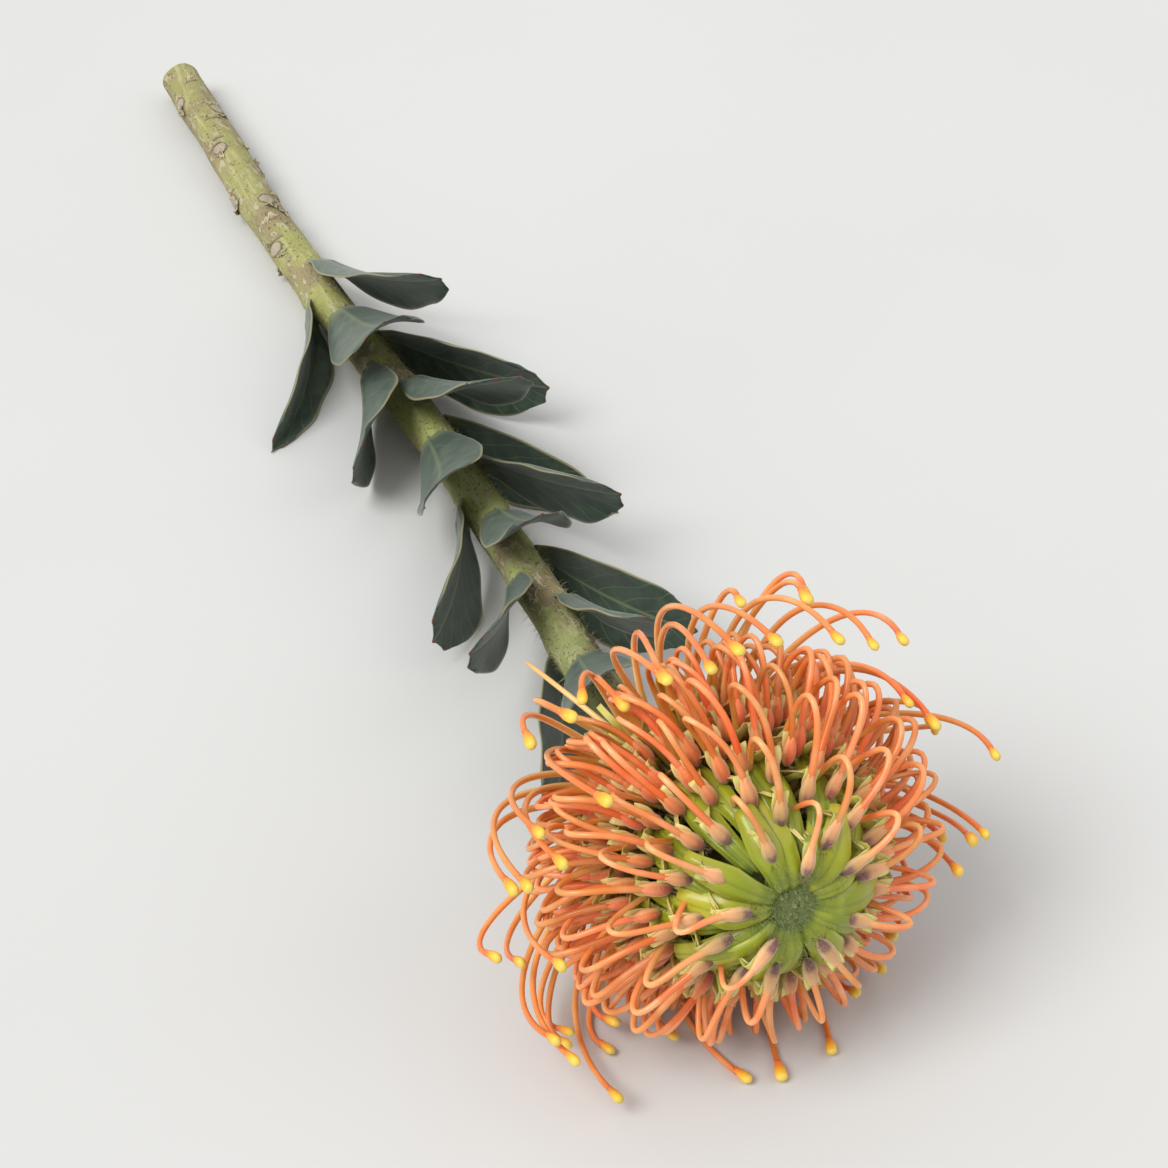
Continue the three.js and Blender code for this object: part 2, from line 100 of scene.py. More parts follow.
# The CAD leaf's midrib takes straight strides of this share of its length, each in the direction that
# it has at its start, so it turns half a stride late
CAD_LEAF_STEP = 1 / 6

# Flower head, in its own frame: Z along its axis, from the base to the crown
HEAD_RADIUS = 40
RELEASED_RADIUS = 50
CORE = {"radius": 12, "middle": 19, "half_height": 24}
KNOB_SHELL = {"radius": 27, "middle": 21, "half_height": 33}
HOOP_SHELL = {"radius": HEAD_RADIUS, "middle": 24, "half_height": 31}
LOWEST_KNOB = 98
CROWN_KNOB = 23
CROWN_THINNING = 0.34  # at 0 the florets would be as dense at the crown as at the side
HOOPED_COUNT = 196
RELEASED_COUNT = 52
SPENT_COUNT = 300
STRAY_AZIMUTHS = (35.0, 118.0, 238.0)
FLORET_SOFT_HEIGHT = 5
PRESSED_SPREAD = 0.3
LOWEST_FLORET = 0.6
LOWEST_RIBBON = 0.3
LOWEST_LIMB = 1.2

# Florets: a pair of values holds for the lowest ones and for those at the crown
STYLE_RADIUS = 0.62
STYLE_LEAN = (105, 38)
ROOT_RADIUS = (7, 8.2)
ROOT_HEIGHT = (4, 34)
KNOB_SCATTER = (3, 1.5)
KNOB_LEAN = (126, 84)
HOOP_OVERHANG = (25, 5)  # from the knob down to the hoop's outermost point
HOOP_SHRINK = 0.07
TURN_RADIUS = (8, 2.3)
LIMB_RADIUS = 1.32
LIMB_LENGTH = 6.8
LIMB_BEFORE_KNOB = 0.34
LIMB_PROFILE = np.array([0.46, 0.53, 0.64, 0.77, 0.89, 0.97, 1, 1, 0.97, 0.9, 0.78, 0.56, 0.16])
DOWN_HAIRS_PER_LIMB = 26
PRESENTER_RADIUS = 0.98
PRESENTER_LENGTH = 4.7
PRESENTER_PROFILE = np.array([0.64, 0.66, 0.72, 0.8, 0.9, 0.98, 1.03, 1.06, 1.07, 1.07, 1.04, 0.94, 0.68,
                              0.2])

# Bract cup and the green eye of the crown
CUP = {"bottom": -13, "low_radius": 5.2, "top_radius": 9}
BRACTS_IN_ROW = (7, 8, 9, 10)
WOOL_HAIRS = 2400
EYE_RADIUS = 4.8
EYE_TOP = 49.0
EYE_BUDS = 26
EYE_HAIRS = 3000
BUD_PROFILE = np.array([0.8, 0.95, 1.05, 1.1, 1.12, 1.1, 1.02, 0.85, 0.58, 0.15])
INNER_FOLDS = {"count": 14, "half_width": 3.1}
OUTER_FOLDS = {"count": 26, "half_width": 2.1}

# Camera and light
CAMERA_AZIMUTH = 67
CAMERA_ELEVATION = 40
CAMERA_TARGET = (0.058, 0.018, 0.008)
CAMERA_DISTANCE = 0.575
CAMERA_LENS = 80
KEY_SUN = {"strength": 2.4, "azimuth": 10, "elevation": 52}
FILL_SUN = {"strength": 0.3, "azimuth": 150, "elevation": 40}
SUN_ANGLE = 35
WORLD_STRENGTH = 0.7
FLOOR_HALF_SIZE = 30


def mix(a, b, share):
    return a + (b - a) * share


def scatter(index, salt):
    """A repeatable number from 0 to 1 for the piece with this index."""
    wave = np.sin(np.asarray(index) * SINE_HASH["index"] + salt * SINE_HASH["salt"]) * SINE_HASH["gain"]
    return wave - np.floor(wave)


def jitter(index, salt):
    """A repeatable number from -1 to 1."""
    return 2 * scatter(index, salt) - 1


def jitter_3d(index, salt):
    """Three repeatable numbers from -1 to 1, which also use the two salts after this one."""
    return np.stack([jitter(index, salt + axis) for axis in range(3)], -1)


def uneven(amount, index, salt):
    """A repeatable factor that is up to this amount more or less than 1."""
    return 1 + amount * jitter(index, salt)


def length(vectors):
    return np.linalg.norm(vectors, axis=-1, keepdims=True)


def unit(vectors):
    return vectors / length(vectors)


def smooth_step(low, high, value):
    share = np.clip((value - low) / (high - low), 0, 1)
    return share * share * (3 - 2 * share)


def bell(value, width):
    return np.exp(-((value / width) ** 2))


def steps(count):
    """Even places from 0 to 1 along a strand."""
    return np.linspace(0, 1, count)[None]


def turns(count):
    """Even turns, once round."""
    return np.arange(count) * 2 * math.pi / count


def blade_grid(rows, columns):
    """Places along a blade, 0 to 1 in the rows, and across it, -1 to 1 in the columns."""
    return np.linspace(0, 1, rows)[:, None], np.linspace(-1, 1, columns)[None]


def pair(x, y):
    x, y = np.broadcast_arrays(np.asarray(x, float), y)
    return np.stack([x, y], -1)


def bezier(a, b, c, d, count):
    """Points of cubic curves, whose corners are (curves, 2) each, or one pair for all the curves."""
    a, b, c, d = (corner[:, None] for corner in np.broadcast_arrays(a, b, c, d))
    u = steps(count)[..., None]
    v = 1 - u
    return a * v**3 + 3 * b * v**2 * u + 3 * c * v * u**2 + d * u**3


# Meshes


class Shape:
    """Points and faces of one piece, gathered strand by strand, with the numbers its material reads."""

    def __init__(self):
        self.points = []
        self.faces = []
        self.values = {}
        self.count = 0

    def add(self, points, faces, values):
        points = points.reshape(-1, 3)
        self.faces += [(block + self.count).tolist() for block in faces]
        self.points.append(points)
        for name, value in values.items():
            self.values.setdefault(name, []).append(np.ravel(value))
        self.count += len(points)


def ring_faces(grid):
    """Faces between the rings of tubes, whose point numbers are (..., rings, sides)."""
    beside = np.roll(grid, -1, axis=-1)
    corners = [grid[..., :-1, :], beside[..., :-1, :], beside[..., 1:, :], grid[..., 1:, :]]
    return np.stack(corners, -1).reshape(-1, 4)


def sweep(shape, centres, across, half_width, half_depth, section, cup=0.0, **values):
    """Adds closed strands: centres are (strands, rings, 3), and a section is drawn across each ring."""
    strands, rings, _ = centres.shape
    sides = len(section)
    along = unit(np.gradient(centres, axis=1))
    across = np.broadcast_to(across, centres.shape)
    normal = unit(np.cross(along, across))
    side = np.cross(normal, along)
    width, depth, cup = (
        np.broadcast_to(value, (strands, rings))[..., None] for value in (half_width, half_depth, cup)
    )
    x, y = section[:, 0], section[:, 1]
    sideways = (width * x)[..., None] * side[:, :, None]
    upward = (depth * y + cup * width * x * x)[..., None] * normal[:, :, None]
    grid = np.arange(strands * rings * sides).reshape(strands, rings, sides)
    numbers = {"aside": np.broadcast_to(x, grid.shape)}
    for name, value in {"along": steps(rings), **values}.items():
        value = np.asarray(value, float)
        value = value.reshape(-1, 1) if value.ndim == 1 else value
        numbers[name] = np.broadcast_to(value[..., None], grid.shape)
    faces = [ring_faces(grid), grid[:, 0, ::-1], grid[:, -1]]
    shape.add(centres[:, :, None] + sideways + upward, faces, numbers)


def tube(shape, points, **values):
    """Adds one closed tube round its points (rings, sides, 3)."""
    grid = np.arange(points[..., 0].size).reshape(points.shape[:2])
    numbers = {name: np.broadcast_to(value, grid.shape) for name, value in values.items()}
    shape.add(points, [ring_faces(grid), grid[:1, ::-1], grid[-1:]], numbers)


def sheet(shape, middle, thickness, **values):
    """Adds a closed blade round a grid of points (rows, columns, 3)."""
    rows, columns, _ = middle.shape
    count = rows * columns
    half = unit(np.cross(np.gradient(middle, axis=0), np.gradient(middle, axis=1)))
    half = half * np.broadcast_to(thickness, (rows, columns))[..., None] / 2
    points = np.concatenate([(middle + half).reshape(-1, 3), (middle - half).reshape(-1, 3)])
    top = np.arange(count).reshape(rows, columns)
    skin = np.stack([top[:-1, :-1], top[1:, :-1], top[1:, 1:], top[:-1, 1:]], -1).reshape(-1, 4)
    lining = skin[:, [0, 3, 2, 1]] + count
    rim = np.concatenate([top[:, 0], top[-1, 1:], top[-2::-1, -1], top[0, -2:0:-1]])
    beside = np.roll(rim, -1)
    edge = np.stack([rim, rim + count, beside + count, beside], -1)
    numbers = {"underside": np.repeat([0.0, 1.0], count)}
    for name, value in values.items():
        numbers[name] = np.tile(np.broadcast_to(value, (rows, columns)).ravel(), 2)
    shape.add(points, [skin, lining, edge], numbers)


def cut_end_centre():
    """The middle of the stem's cut end, on the table, in the CAD frame."""
    low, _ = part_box("stem")
    tolerance = 0.01 * MM
    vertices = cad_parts["stem"].data.vertices
    across = [v.co.y for v in vertices if v.co.x < low.x + tolerance]
    return np.array([low.x, (min(across) + max(across)) / 2, 0])


PLANT_ORIGIN = cut_end_centre()


def new_object(name, data):
    """A new object in the scene."""
    made = bpy.data.objects.new(name, data)
    bpy.context.scene.collection.objects.link(made)
    return made


def add_piece(name, slot, node, skin, make, *place):
    """Makes the object of one piece, which rides on the flower and stands for a CAD node."""
    shape = Shape()
    make(shape, *place)
    mesh = bpy.data.meshes.new(name)
    points = np.concatenate(shape.points) * MM + PLANT_ORIGIN
    faces = [face for block in shape.faces for face in block]
    mesh.from_pydata(points.tolist(), [], faces)
    mesh.polygons.foreach_set("use_smooth", np.ones(len(faces), bool))
    for key, parts in shape.values.items():
        attribute = mesh.attributes.new(key, "FLOAT", "POINT")
        attribute.data.foreach_set("value", np.concatenate(parts).astype(np.float32))
    mesh.materials.append(skin)
    piece = new_object(name, mesh)
    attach(piece, "root")
    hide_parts(node)


def circle(sides, lobes=0, depth=0.0):
    """A round section, or one with this many lobes."""
    turn = turns(sides)
    radius = 1 + depth * np.cos(lobes * turn)
    return np.stack([radius * np.cos(turn), radius * np.sin(turn)], -1)


def creased():
    """A flat section with a crease along its middle."""
    section = circle(26, 7, 0.035)
    crease = 1 - 0.62 * bell(section[:, 0], 0.2)
    return section * np.stack([np.ones_like(crease), crease], -1)


HAIR = circle(3)
ROUND = circle(8)
GUTTER = circle(10)
LIMB_SECTION = circle(16, 4, 0.12)
PRESENTER_SECTION = circle(14, 2, 0.05)
BUD_SECTION = circle(12, 4, 0.08)


# Stem axis and flower head frame


def stem_radius(x):
    return mix(CUT_RADIUS, NECK_RADIUS, x / NECK_X)


def stem_axis(x):
    """Point of the stem's axis at x, and the directions along it, to its side and up."""
    x = np.asarray(x, float)
    span = NECK_X - REST_LENGTH
    q = np.maximum(0, (x - REST_LENGTH) / span)
    end_slope = math.tan(NECK_LEAN) * span
    square = 3 * NECK_LIFT - end_slope
    cube = end_slope - 2 * NECK_LIFT
    flat_side = stem_radius(x) * math.cos(math.pi / STEM_SIDES)
    height = flat_side + square * q**2 + cube * q**3
    point = np.stack([x, SWAY * np.sin(math.pi * q) ** 2, height], -1)
    swing = SWAY * math.pi * np.sin(2 * math.pi * q) / span
    climb = (2 * square * q + 3 * cube * q**2) / span
    along = unit(np.stack([np.ones_like(x), swing, climb], -1))
    side = unit(np.stack([-along[..., 1], along[..., 0], np.zeros_like(x)], -1))
    return point, along, side, np.cross(along, side)


NECK, HEAD_ALONG, HEAD_SIDE, HEAD_UP = stem_axis(NECK_X)
HEAD_FRAME = np.stack([HEAD_UP, -HEAD_SIDE, HEAD_ALONG])


def height_on_table(height, soft_height, lowest):
    """Height of something pliant that would reach below the table."""
    bent = np.maximum(lowest, soft_height * np.exp(np.minimum(height, soft_height) / soft_height - 1))
    return np.where(height < soft_height, bent, height)


def head_place(radial, turn, axial):
    """Points this far off the head's axis, this far round it and this far up it."""
    local = np.stack(np.broadcast_arrays(radial * np.cos(turn), radial * np.sin(turn), axial), -1)
    return NECK + local @ HEAD_FRAME


def head_points(plane, azimuth, aside=0.0, lowest=LOWEST_FLORET):
    """Turns (strands, points, 2) of the head's half plane round its axis, off the table."""
    points = head_place(plane[..., 0], np.asarray(azimuth)[:, None] + aside, plane[..., 1])
    height = height_on_table(points[..., 2], FLORET_SOFT_HEIGHT, lowest)
    spread = PRESSED_SPREAD * (height - points[..., 2])
    points[..., 1] += spread * np.clip(points[..., 1] / (HEAD_RADIUS / 2), -1, 1)
    points[..., 2] = height
    return points


def head_spots(spots, azimuth, aside=0.0, lowest=LOWEST_FLORET):
    """As head_points(), with one spot for each azimuth."""
    return head_points(spots[:, None], azimuth, np.asarray(aside)[..., None], lowest)[:, 0]


def round_the_head(azimuth):
    """Directions round the head's axis, for strands of the half planes at these azimuths."""
    local = np.stack([-np.sin(azimuth), np.cos(azimuth), np.zeros_like(azimuth)], -1)
    return (local @ HEAD_FRAME)[:, None]


def head_strands(shape, plane, azimuth, width, depth, section, cup=0.0, aside=0.0,
                 lowest=LOWEST_FLORET, **values):
    """Adds strands that follow these points of the half planes at these azimuths."""
    centres = head_points(plane, azimuth, aside, lowest)
    sweep(shape, centres, round_the_head(azimuth), width, depth, section, cup, **values)


def shell_point(shell, degrees):
    angle = np.radians(degrees)
    return pair(shell["radius"] * np.sin(angle), shell["middle"] + shell["half_height"] * np.cos(angle))


# Florets


def hooped_florets():
    """The key points of every hooped floret, in the half plane of the head's axis that it grows in."""
    index = np.arange(HOOPED_COUNT)
    t = index / (HOOPED_COUNT - 1)
    thinned = (1 - CROWN_THINNING) * t + CROWN_THINNING * t**6
    height = mix(math.cos(math.radians(LOWEST_KNOB)), math.cos(math.radians(CROWN_KNOB)), thinned)
    even_angle = np.degrees(np.arccos(height))
    row = (LOWEST_KNOB - even_angle) / (LOWEST_KNOB - CROWN_KNOB)
    knob_angle = even_angle + mix(*KNOB_SCATTER, row) * jitter(index, 7)
    root = pair(mix(*ROOT_RADIUS, row), mix(*ROOT_HEIGHT, row))
    knob = shell_point(KNOB_SHELL, knob_angle)
    turn = shell_point(HOOP_SHELL, knob_angle + mix(*HOOP_OVERHANG, row) + 2.5 * jitter(index, 8))
    middle = np.array([0, HOOP_SHELL["middle"]])
    turn = mix(turn, middle, HOOP_SHRINK * scatter(index, 12)[:, None])
    out = unit(unit(turn - root) + unit(turn - knob))
    lean = np.radians(mix(*STYLE_LEAN, row**0.8))
    knob_lean = np.radians(mix(*KNOB_LEAN, row**0.8) + 5 * jitter(index, 10))
    return SimpleNamespace(
        index=index, row=row, root=root, knob=knob, turn=turn, out=out,
        azimuth=(RELEASED_COUNT + index) * GOLDEN_ANGLE + 0.05 * jitter(index, 11),
        crownward=pair(-out[:, 1], out[:, 0]),
        leave=pair(np.sin(lean), np.cos(lean)),
        knob_out=pair(np.sin(knob_lean), np.cos(knob_lean)),
        turn_radius=mix(*TURN_RADIUS, row**0.7)[:, None],
        swing=0.07 + 0.1 * jitter(index, 9),
    )


FLORETS = hooped_florets()


def hooped_styles(shape):
    """Styles that bow out of the head and back to their limbs."""
    f = FLORETS
    root, knob, turn, radius = f.root, f.knob, f.turn, f.turn_radius
    back = turn - knob
    outward = np.abs(np.sum(back * f.out, -1, keepdims=True))
    basal = np.abs(np.sum(back * f.crownward, -1, keepdims=True))
    lower = bezier(root, root + f.leave * 0.45 * length(turn - root),
                   turn - f.crownward * 1.3 * radius - f.out * 0.2 * radius, turn, 16)
    upper = bezier(turn, turn + f.crownward * 0.6 * np.maximum(basal, 0.8 * radius),
                   knob + f.knob_out * 0.55 * outward, knob, 13)
    plane = np.concatenate([lower, upper[:, 1:]], axis=1)
    place = steps(plane.shape[1])
    aside = f.swing[:, None] * np.sin(math.pi * place) ** 2
    thickness = STYLE_RADIUS * uneven(0.09, f.index, 13)[:, None]
    thickness = thickness * (1.12 - 0.22 * np.sin(math.pi * place))
    head_strands(shape, plane, f.azimuth, thickness, thickness, ROUND, aside=aside,
                 lowest=STYLE_RADIUS, row=f.row, chance=scatter(f.index, 20))


def limbs(shape):
    """The knobs at the styles' ends: four tepal tips that still hold the pollen presenter."""
    f = FLORETS
    place = steps(len(LIMB_PROFILE))[..., None]
    size = uneven(0.08, f.index, 21)[:, None, None]
    reach = (place - LIMB_BEFORE_KNOB) * LIMB_LENGTH * size * mix(0.82, 1, f.row)[:, None, None]
    plane = f.knob[:, None] - f.knob_out[:, None] * reach - f.crownward[:, None] * place**2 * 0.5
    radius = LIMB_RADIUS * size[..., 0] * LIMB_PROFILE
    head_strands(shape, plane, f.azimuth, radius, 0.9 * radius, LIMB_SECTION, lowest=LOWEST_LIMB,
                 row=f.row, chance=scatter(f.index, 22))


def perianths(shape):
    """The gutters that three tepals make under the limbs, and two claws beside each of them."""
    f = FLORETS
    index, root, knob, knob_out, up = f.index, f.root, f.knob, f.knob_out, f.crownward
    outer = knob + knob_out * 2.2 - up * 0.9
    span = length(outer - root)
    arrive = unit((knob - root) / span + 0.2 * knob_out)
    rise = bezier(root, root + f.leave * 0.34 * span, outer - arrive * 0.3 * span, outer, 16)
    hood = bezier(outer, outer + arrive * 1.3, knob - up * 1.1 + arrive * 0.2,
                  knob - knob_out * 2.4 - up * 1.2, 10)
    band = np.concatenate([rise, hood[:, 1:]], axis=1)
    place = steps(band.shape[1])
    width = np.interp(place, [0, 0.3, 0.55, 0.7, 0.85, 1], [0.9, 1.0, 1.35, 1.4, 1.5, 0.8])
    width = width * uneven(0.15, index, 19)[:, None]
    depth = np.interp(place, [0, 0.3, 0.5, 1], [0.7, 0.45, 0.18, 0.12])
    cup = np.interp(place, [0, 0.5, 0.68, 0.85, 1], [-0.5, -0.5, -0.12, -0.3, -0.5])
    wave = 0.1 * np.sin(7 * place + 6 * scatter(index, 23)[:, None]) * place * (1 - place)
    head_strands(shape, band, f.azimuth, width, depth, GUTTER, cup, aside=wave, lowest=0.4,
                 row=f.row, chance=scatter(index, 24))
    for hand in (-1, 1):
        sag = 1.2 + 2.4 * scatter(index, 25 + hand)[:, None]
        claw = bezier(root, root + f.leave * 0.4 * span,
                      outer - arrive * 0.35 * span - up * 1.3 * sag + knob_out * 0.6 * sag,
                      outer - up * 0.6 - knob_out * 0.8, 16)
        place = steps(16)
        offset = hand * (0.5 + 1.3 * np.sin(math.pi * place**1.2)) / np.maximum(claw[..., 0], 5)
        width = np.interp(place, [0, 0.5, 0.85, 1], [0.4, 0.7, 0.62, 0.4])
        head_strands(shape, claw, f.azimuth, width, 0.12, ROUND, -0.4, aside=offset,
                     lowest=LOWEST_RIBBON, row=f.row, chance=scatter(index, 27 + hand))


def spent_perianths(shape):
    """Tepals of opened florets, which have curled back between the hoops."""
    index = np.arange(SPENT_COUNT)
    row = scatter(index, 30) ** 1.5
    azimuth = index * GOLDEN_ANGLE + 0.4 * jitter(index, 31)
    root = pair(9, mix(1, 33, row))
    place = steps(30)
    stride = (mix(21, 18, row) * uneven(0.25, index, 32) / (place.size - 1))[:, None]
    lean = np.radians(mix(88, 42, row) + 12 * jitter(index, 33))[:, None]
    hand = np.where(scatter(index, 35) > 0.3, 1, -1)[:, None]
    curl = (2.6 + 3.2 * scatter(index, 34))[:, None] * hand
    angle = lean + curl * np.maximum(place - 0.4, 0) ** 1.3 * 2.3
    plane = root[:, None] + np.cumsum(pair(np.sin(angle) * stride, np.cos(angle) * stride), axis=1)
    aside = 0.16 * jitter(index, 36)[:, None] * place
    width = np.interp(place, [0, 0.3, 0.8, 0.93, 1], [0.5, 0.6, 0.45, 0.3, 0.06])
    width = width * uneven(0.3, index, 37)[:, None]
    head_strands(shape, plane, azimuth, width, 0.13, GUTTER, 0.3, aside=aside, lowest=LOWEST_RIBBON,
                 chance=scatter(index, 38))


def released_curves():
    """The released styles' indices, azimuths, centre points out to their tips, and places along them."""
    index = np.arange(RELEASED_COUNT)
    t = index / (RELEASED_COUNT - 1)
    place = steps(44)
    reach = RELEASED_RADIUS * (1.02 - 0.2 * scatter(index, 5) ** 2)
    plane = bezier(pair(7, mix(2.5, 7, t)), pair(28, mix(-4, 0, t)), pair(reach, mix(2, 10, t)),
                   pair(reach, 26 + 13 * jitter(index, 6)), place.size)
    plane[..., 0] -= (1.2 + 2.4 * scatter(index, 48))[:, None] * place**8
    sway = 0.14 * jitter(index, 39)[:, None] * np.sin(2.6 * place)
    aside = sway + 0.05 * jitter(index, 40)[:, None] * place**4
    azimuth = index * GOLDEN_ANGLE
    return index, azimuth, head_points(plane, azimuth, aside, STYLE_RADIUS), place


def released_styles(shape):
    """Styles that have let go of their limbs and stand out all round the head."""
    index, azimuth, centres, place = released_curves()
    thickness = STYLE_RADIUS * np.interp(place, [0, 0.3, 0.85, 1], [1.25, 1.12, 0.88, 0.95])
    sweep(shape, centres, round_the_head(azimuth), thickness, thickness, ROUND, chance=scatter(index, 41))
    stray_styles(shape)


def stray_styles(shape):
    """A few pale styles of the lowest row, without presenters, that point back along the stem."""
    azimuth = np.radians(np.array(STRAY_AZIMUTHS))
    index = np.arange(len(azimuth))
    away = np.radians(124 + 10 * jitter(index, 44))
    reach = pair(np.sin(away), np.cos(away)) * mix(30, 38, scatter(index, 43))[:, None]
    root = pair(7, 3)
    bow = pair(1.5 + 2 * scatter(index, 49), 5)
    place = steps(20)
    plane = bezier(root, root + pair(13, 2.5), root + 0.6 * reach + bow, root + reach, place.size)
    thickness = STYLE_RADIUS * np.interp(place, [0, 0.96, 1], [1.1, 0.72, 0.35])
    head_strands(shape, plane, azimuth, thickness, thickness, ROUND, aside=0.1 * place,
                 lowest=STYLE_RADIUS, along=0.5 * place, chance=scatter(index, 45))


def pollen_presenters(shape):
    """The swollen, slanted pollen presenters at the released styles' tips."""
    index, azimuth, centres, _ = released_curves()
    tip = centres[:, -1]
    heading = unit(tip - centres[:, -4])
    reach = np.linspace(-0.45, 1, len(PRESENTER_PROFILE))[None, :, None] * PRESENTER_LENGTH * 0.62
    size = uneven(0.12, index, 46)[:, None]
    path = tip[:, None] + heading[:, None] * reach * size[..., None]
    path[..., 2] = np.maximum(path[..., 2], LOWEST_LIMB)
    radius = PRESENTER_RADIUS * size * PRESENTER_PROFILE
    sweep(shape, path, round_the_head(azimuth), radius, 0.9 * radius, PRESENTER_SECTION,
          chance=scatter(index, 47))


def head_core(shape):
    """The swollen end of the stem, rough with the feet of the florets."""
    rings = 46
    angle = np.linspace(math.pi - 0.35, 0.02, rings)[:, None]
    turn = turns(64)
    rough = 0.5 * np.sin(9 * turn + 20 * angle) * np.sin(9 * turn - 20 * angle)
    radial = CORE["radius"] * np.sin(angle) + rough
    axial = CORE["middle"] + CORE["half_height"] * np.cos(angle)
    tube(shape, head_place(radial, turn, axial), along=np.linspace(0, 1, rings)[:, None])


# Crown


def crown_folds(shape):
    """The glossy green perianths of the youngest florets, which radiate from the eye in two rounds."""
    count = INNER_FOLDS["count"]
    index = np.arange(count)
    azimuth = 2 * math.pi * (index + 0.2 * jitter(index, 50)) / count
    reach = 19 + 2.5 * jitter(index, 51)
    plane = bezier(pair(3.0, 46.2), pair(6.5, 51.0 + 0.6 * jitter(index, 53)), pair(0.7 * reach, 49.9),
                   pair(reach, 41.5 + 1.5 * jitter(index, 52)), 18)
    add_folds(shape, index, plane, azimuth, INNER_FOLDS["half_width"])
    index = np.arange(OUTER_FOLDS["count"]) + count
    azimuth = 2 * math.pi * (index + 0.3 * jitter(index, 50)) / OUTER_FOLDS["count"]
    start = 24.5 + 4 * jitter(index, 51)
    plane = bezier(shell_point(KNOB_SHELL, start) * 0.9, shell_point(KNOB_SHELL, start + 12) * 0.98,
                   shell_point(KNOB_SHELL, start + 32) * 0.97,
                   shell_point(KNOB_SHELL, start + 48) * 0.82, 18)
    add_folds(shape, index, plane, azimuth, OUTER_FOLDS["half_width"])


def add_folds(shape, index, plane, azimuth, half_width):
    """Adds broad creased folds that follow these curves."""
    place = steps(plane.shape[1])
    width = np.interp(place, [0, 0.2, 0.65, 1], [0.3, 0.62, 1, 0.7]) * half_width
    width = width * uneven(0.2, index, 54)[:, None] * (1 + 0.08 * np.sin(9 * place + 7 * index[:, None]))
    centres = head_points(plane, azimuth, 0.14 * jitter(index, 55)[:, None] * place)
    tilt = (0.45 * jitter(index, 59))[:, None, None] * HEAD_ALONG
    sweep(shape, centres, round_the_head(azimuth) + tilt, width, 0.85 - 0.35 * place, creased(), -0.3,
          chance=scatter(index, 56))


def closed_buds(shape):
    """The closed buds in the middle of the eye."""
    index = np.arange(EYE_BUDS)
    radius = mix(0.5, EYE_RADIUS, np.sqrt(index / (EYE_BUDS - 1)))
    foot = pair(radius * 0.9, 42)
    tip = pair(radius * 0.8, EYE_TOP - 0.05 * radius**2 + 0.4 * jitter(index, 57))
    plane = bezier(foot, mix(foot, tip, 0.4) + pair(0.5, 0), mix(foot, tip, 0.75) + pair(0.6, 0), tip,
                   len(BUD_PROFILE))
    profile = BUD_PROFILE[None]
    head_strands(shape, plane, index * GOLDEN_ANGLE, profile, profile, BUD_SECTION,
                 chance=scatter(index, 58))


def hairs(shape, roots, headings, lengths, radius, bend, curl=0.0, rings=3):
    """Adds a thin tapered hair at every root, bent over towards the bend vectors and curled."""
    place = steps(rings)[..., None]
    index = np.arange(len(roots))
    lengths = lengths[:, None, None]
    path = roots[:, None] + headings[:, None] * place * lengths + bend[:, None] * place**2 * lengths
    if curl:
        phase = 6.28 * scatter(index, 60)[:, None, None] + 8 * place
        wave = np.concatenate([np.sin(phase), np.cos(phase), np.sin(phase + 1.7)], -1)
        path = path + curl * place * wave
    across = unit(np.cross(headings, headings[:, [1, 2, 0]] + 0.31))[:, None]
    thickness = radius * (1 - 0.8 * place[..., 0])
    sweep(shape, path, across, thickness, thickness, HAIR, chance=scatter(index, 61))


def crown_down(shape):
    """Short greyish down on the middle of the crown."""
    index = np.arange(EYE_HAIRS)
    share = index / EYE_HAIRS
    radius = EYE_RADIUS * np.sqrt(share) * (1 + 1.1 * share**5)
    height = np.interp(radius, [0, 3, 4.8, 7, 10], [48.5, 48.2, 48, 49.2, 49.3])
    roots = head_spots(pair(radius, height), index * GOLDEN_ANGLE)
    lean = jitter_3d(index, 62) * 0.9
    lengths = 0.6 + 0.6 * scatter(index, 65)
    hairs(shape, roots, unit(HEAD_ALONG + lean), lengths, 0.04, 0.5 * lean, 0.1)


def limb_down(shape):
    """Short dark hairs on the limbs' tips, thickest at the crown."""
    which = np.repeat(FLORETS.index, DOWN_HAIRS_PER_LIMB)
    f = SimpleNamespace(**{name: value[which] for name, value in vars(FLORETS).items()})
    index = np.arange(len(which))
    share = mix(0.42, 0.74, scatter(index, 66) ** 0.7)
    reach = LIMB_LENGTH * share[:, None]
    turn = 2 * math.pi * scatter(index, 67)
    girth = LIMB_RADIUS * np.sqrt(np.clip(1 - ((share - 0.3) / 0.47) ** 2, 0.02, 1)) * 0.95
    middle = f.knob - f.knob_out * reach
    skin = middle + f.crownward * (girth * np.sin(turn) - 0.5)[:, None]
    aside = girth * np.cos(turn) / np.maximum(skin[:, 0], 3)
    roots = head_spots(skin, f.azimuth, aside, LOWEST_LIMB)
    centres = head_spots(middle, f.azimuth, 0.0, LOWEST_LIMB)
    ahead = head_spots(middle - f.knob_out * 3, f.azimuth, 0.0, LOWEST_LIMB)
    headings = unit(unit(roots - centres + 1e-6) + 0.9 * unit(ahead - centres))
    lengths = 0.7 + 0.5 * scatter(index, 69)
    kept = f.row > 0.45 * scatter(index, 68)
    hairs(shape, roots[kept], headings[kept], lengths[kept], 0.06, 0.2 * headings[kept])


# Bract cup


def cup_points(z, across, outward, azimuth):
    """Points on the cup at these heights, this far round it from an azimuth and this far off it."""
    share = np.clip((z - CUP["bottom"]) / -CUP["bottom"], 0, 1)
    radius = mix(CUP["low_radius"], CUP["top_radius"], share**0.6) + np.maximum(z, 0) * 0.3 + outward
    return head_place(radius, azimuth + across / radius, z)


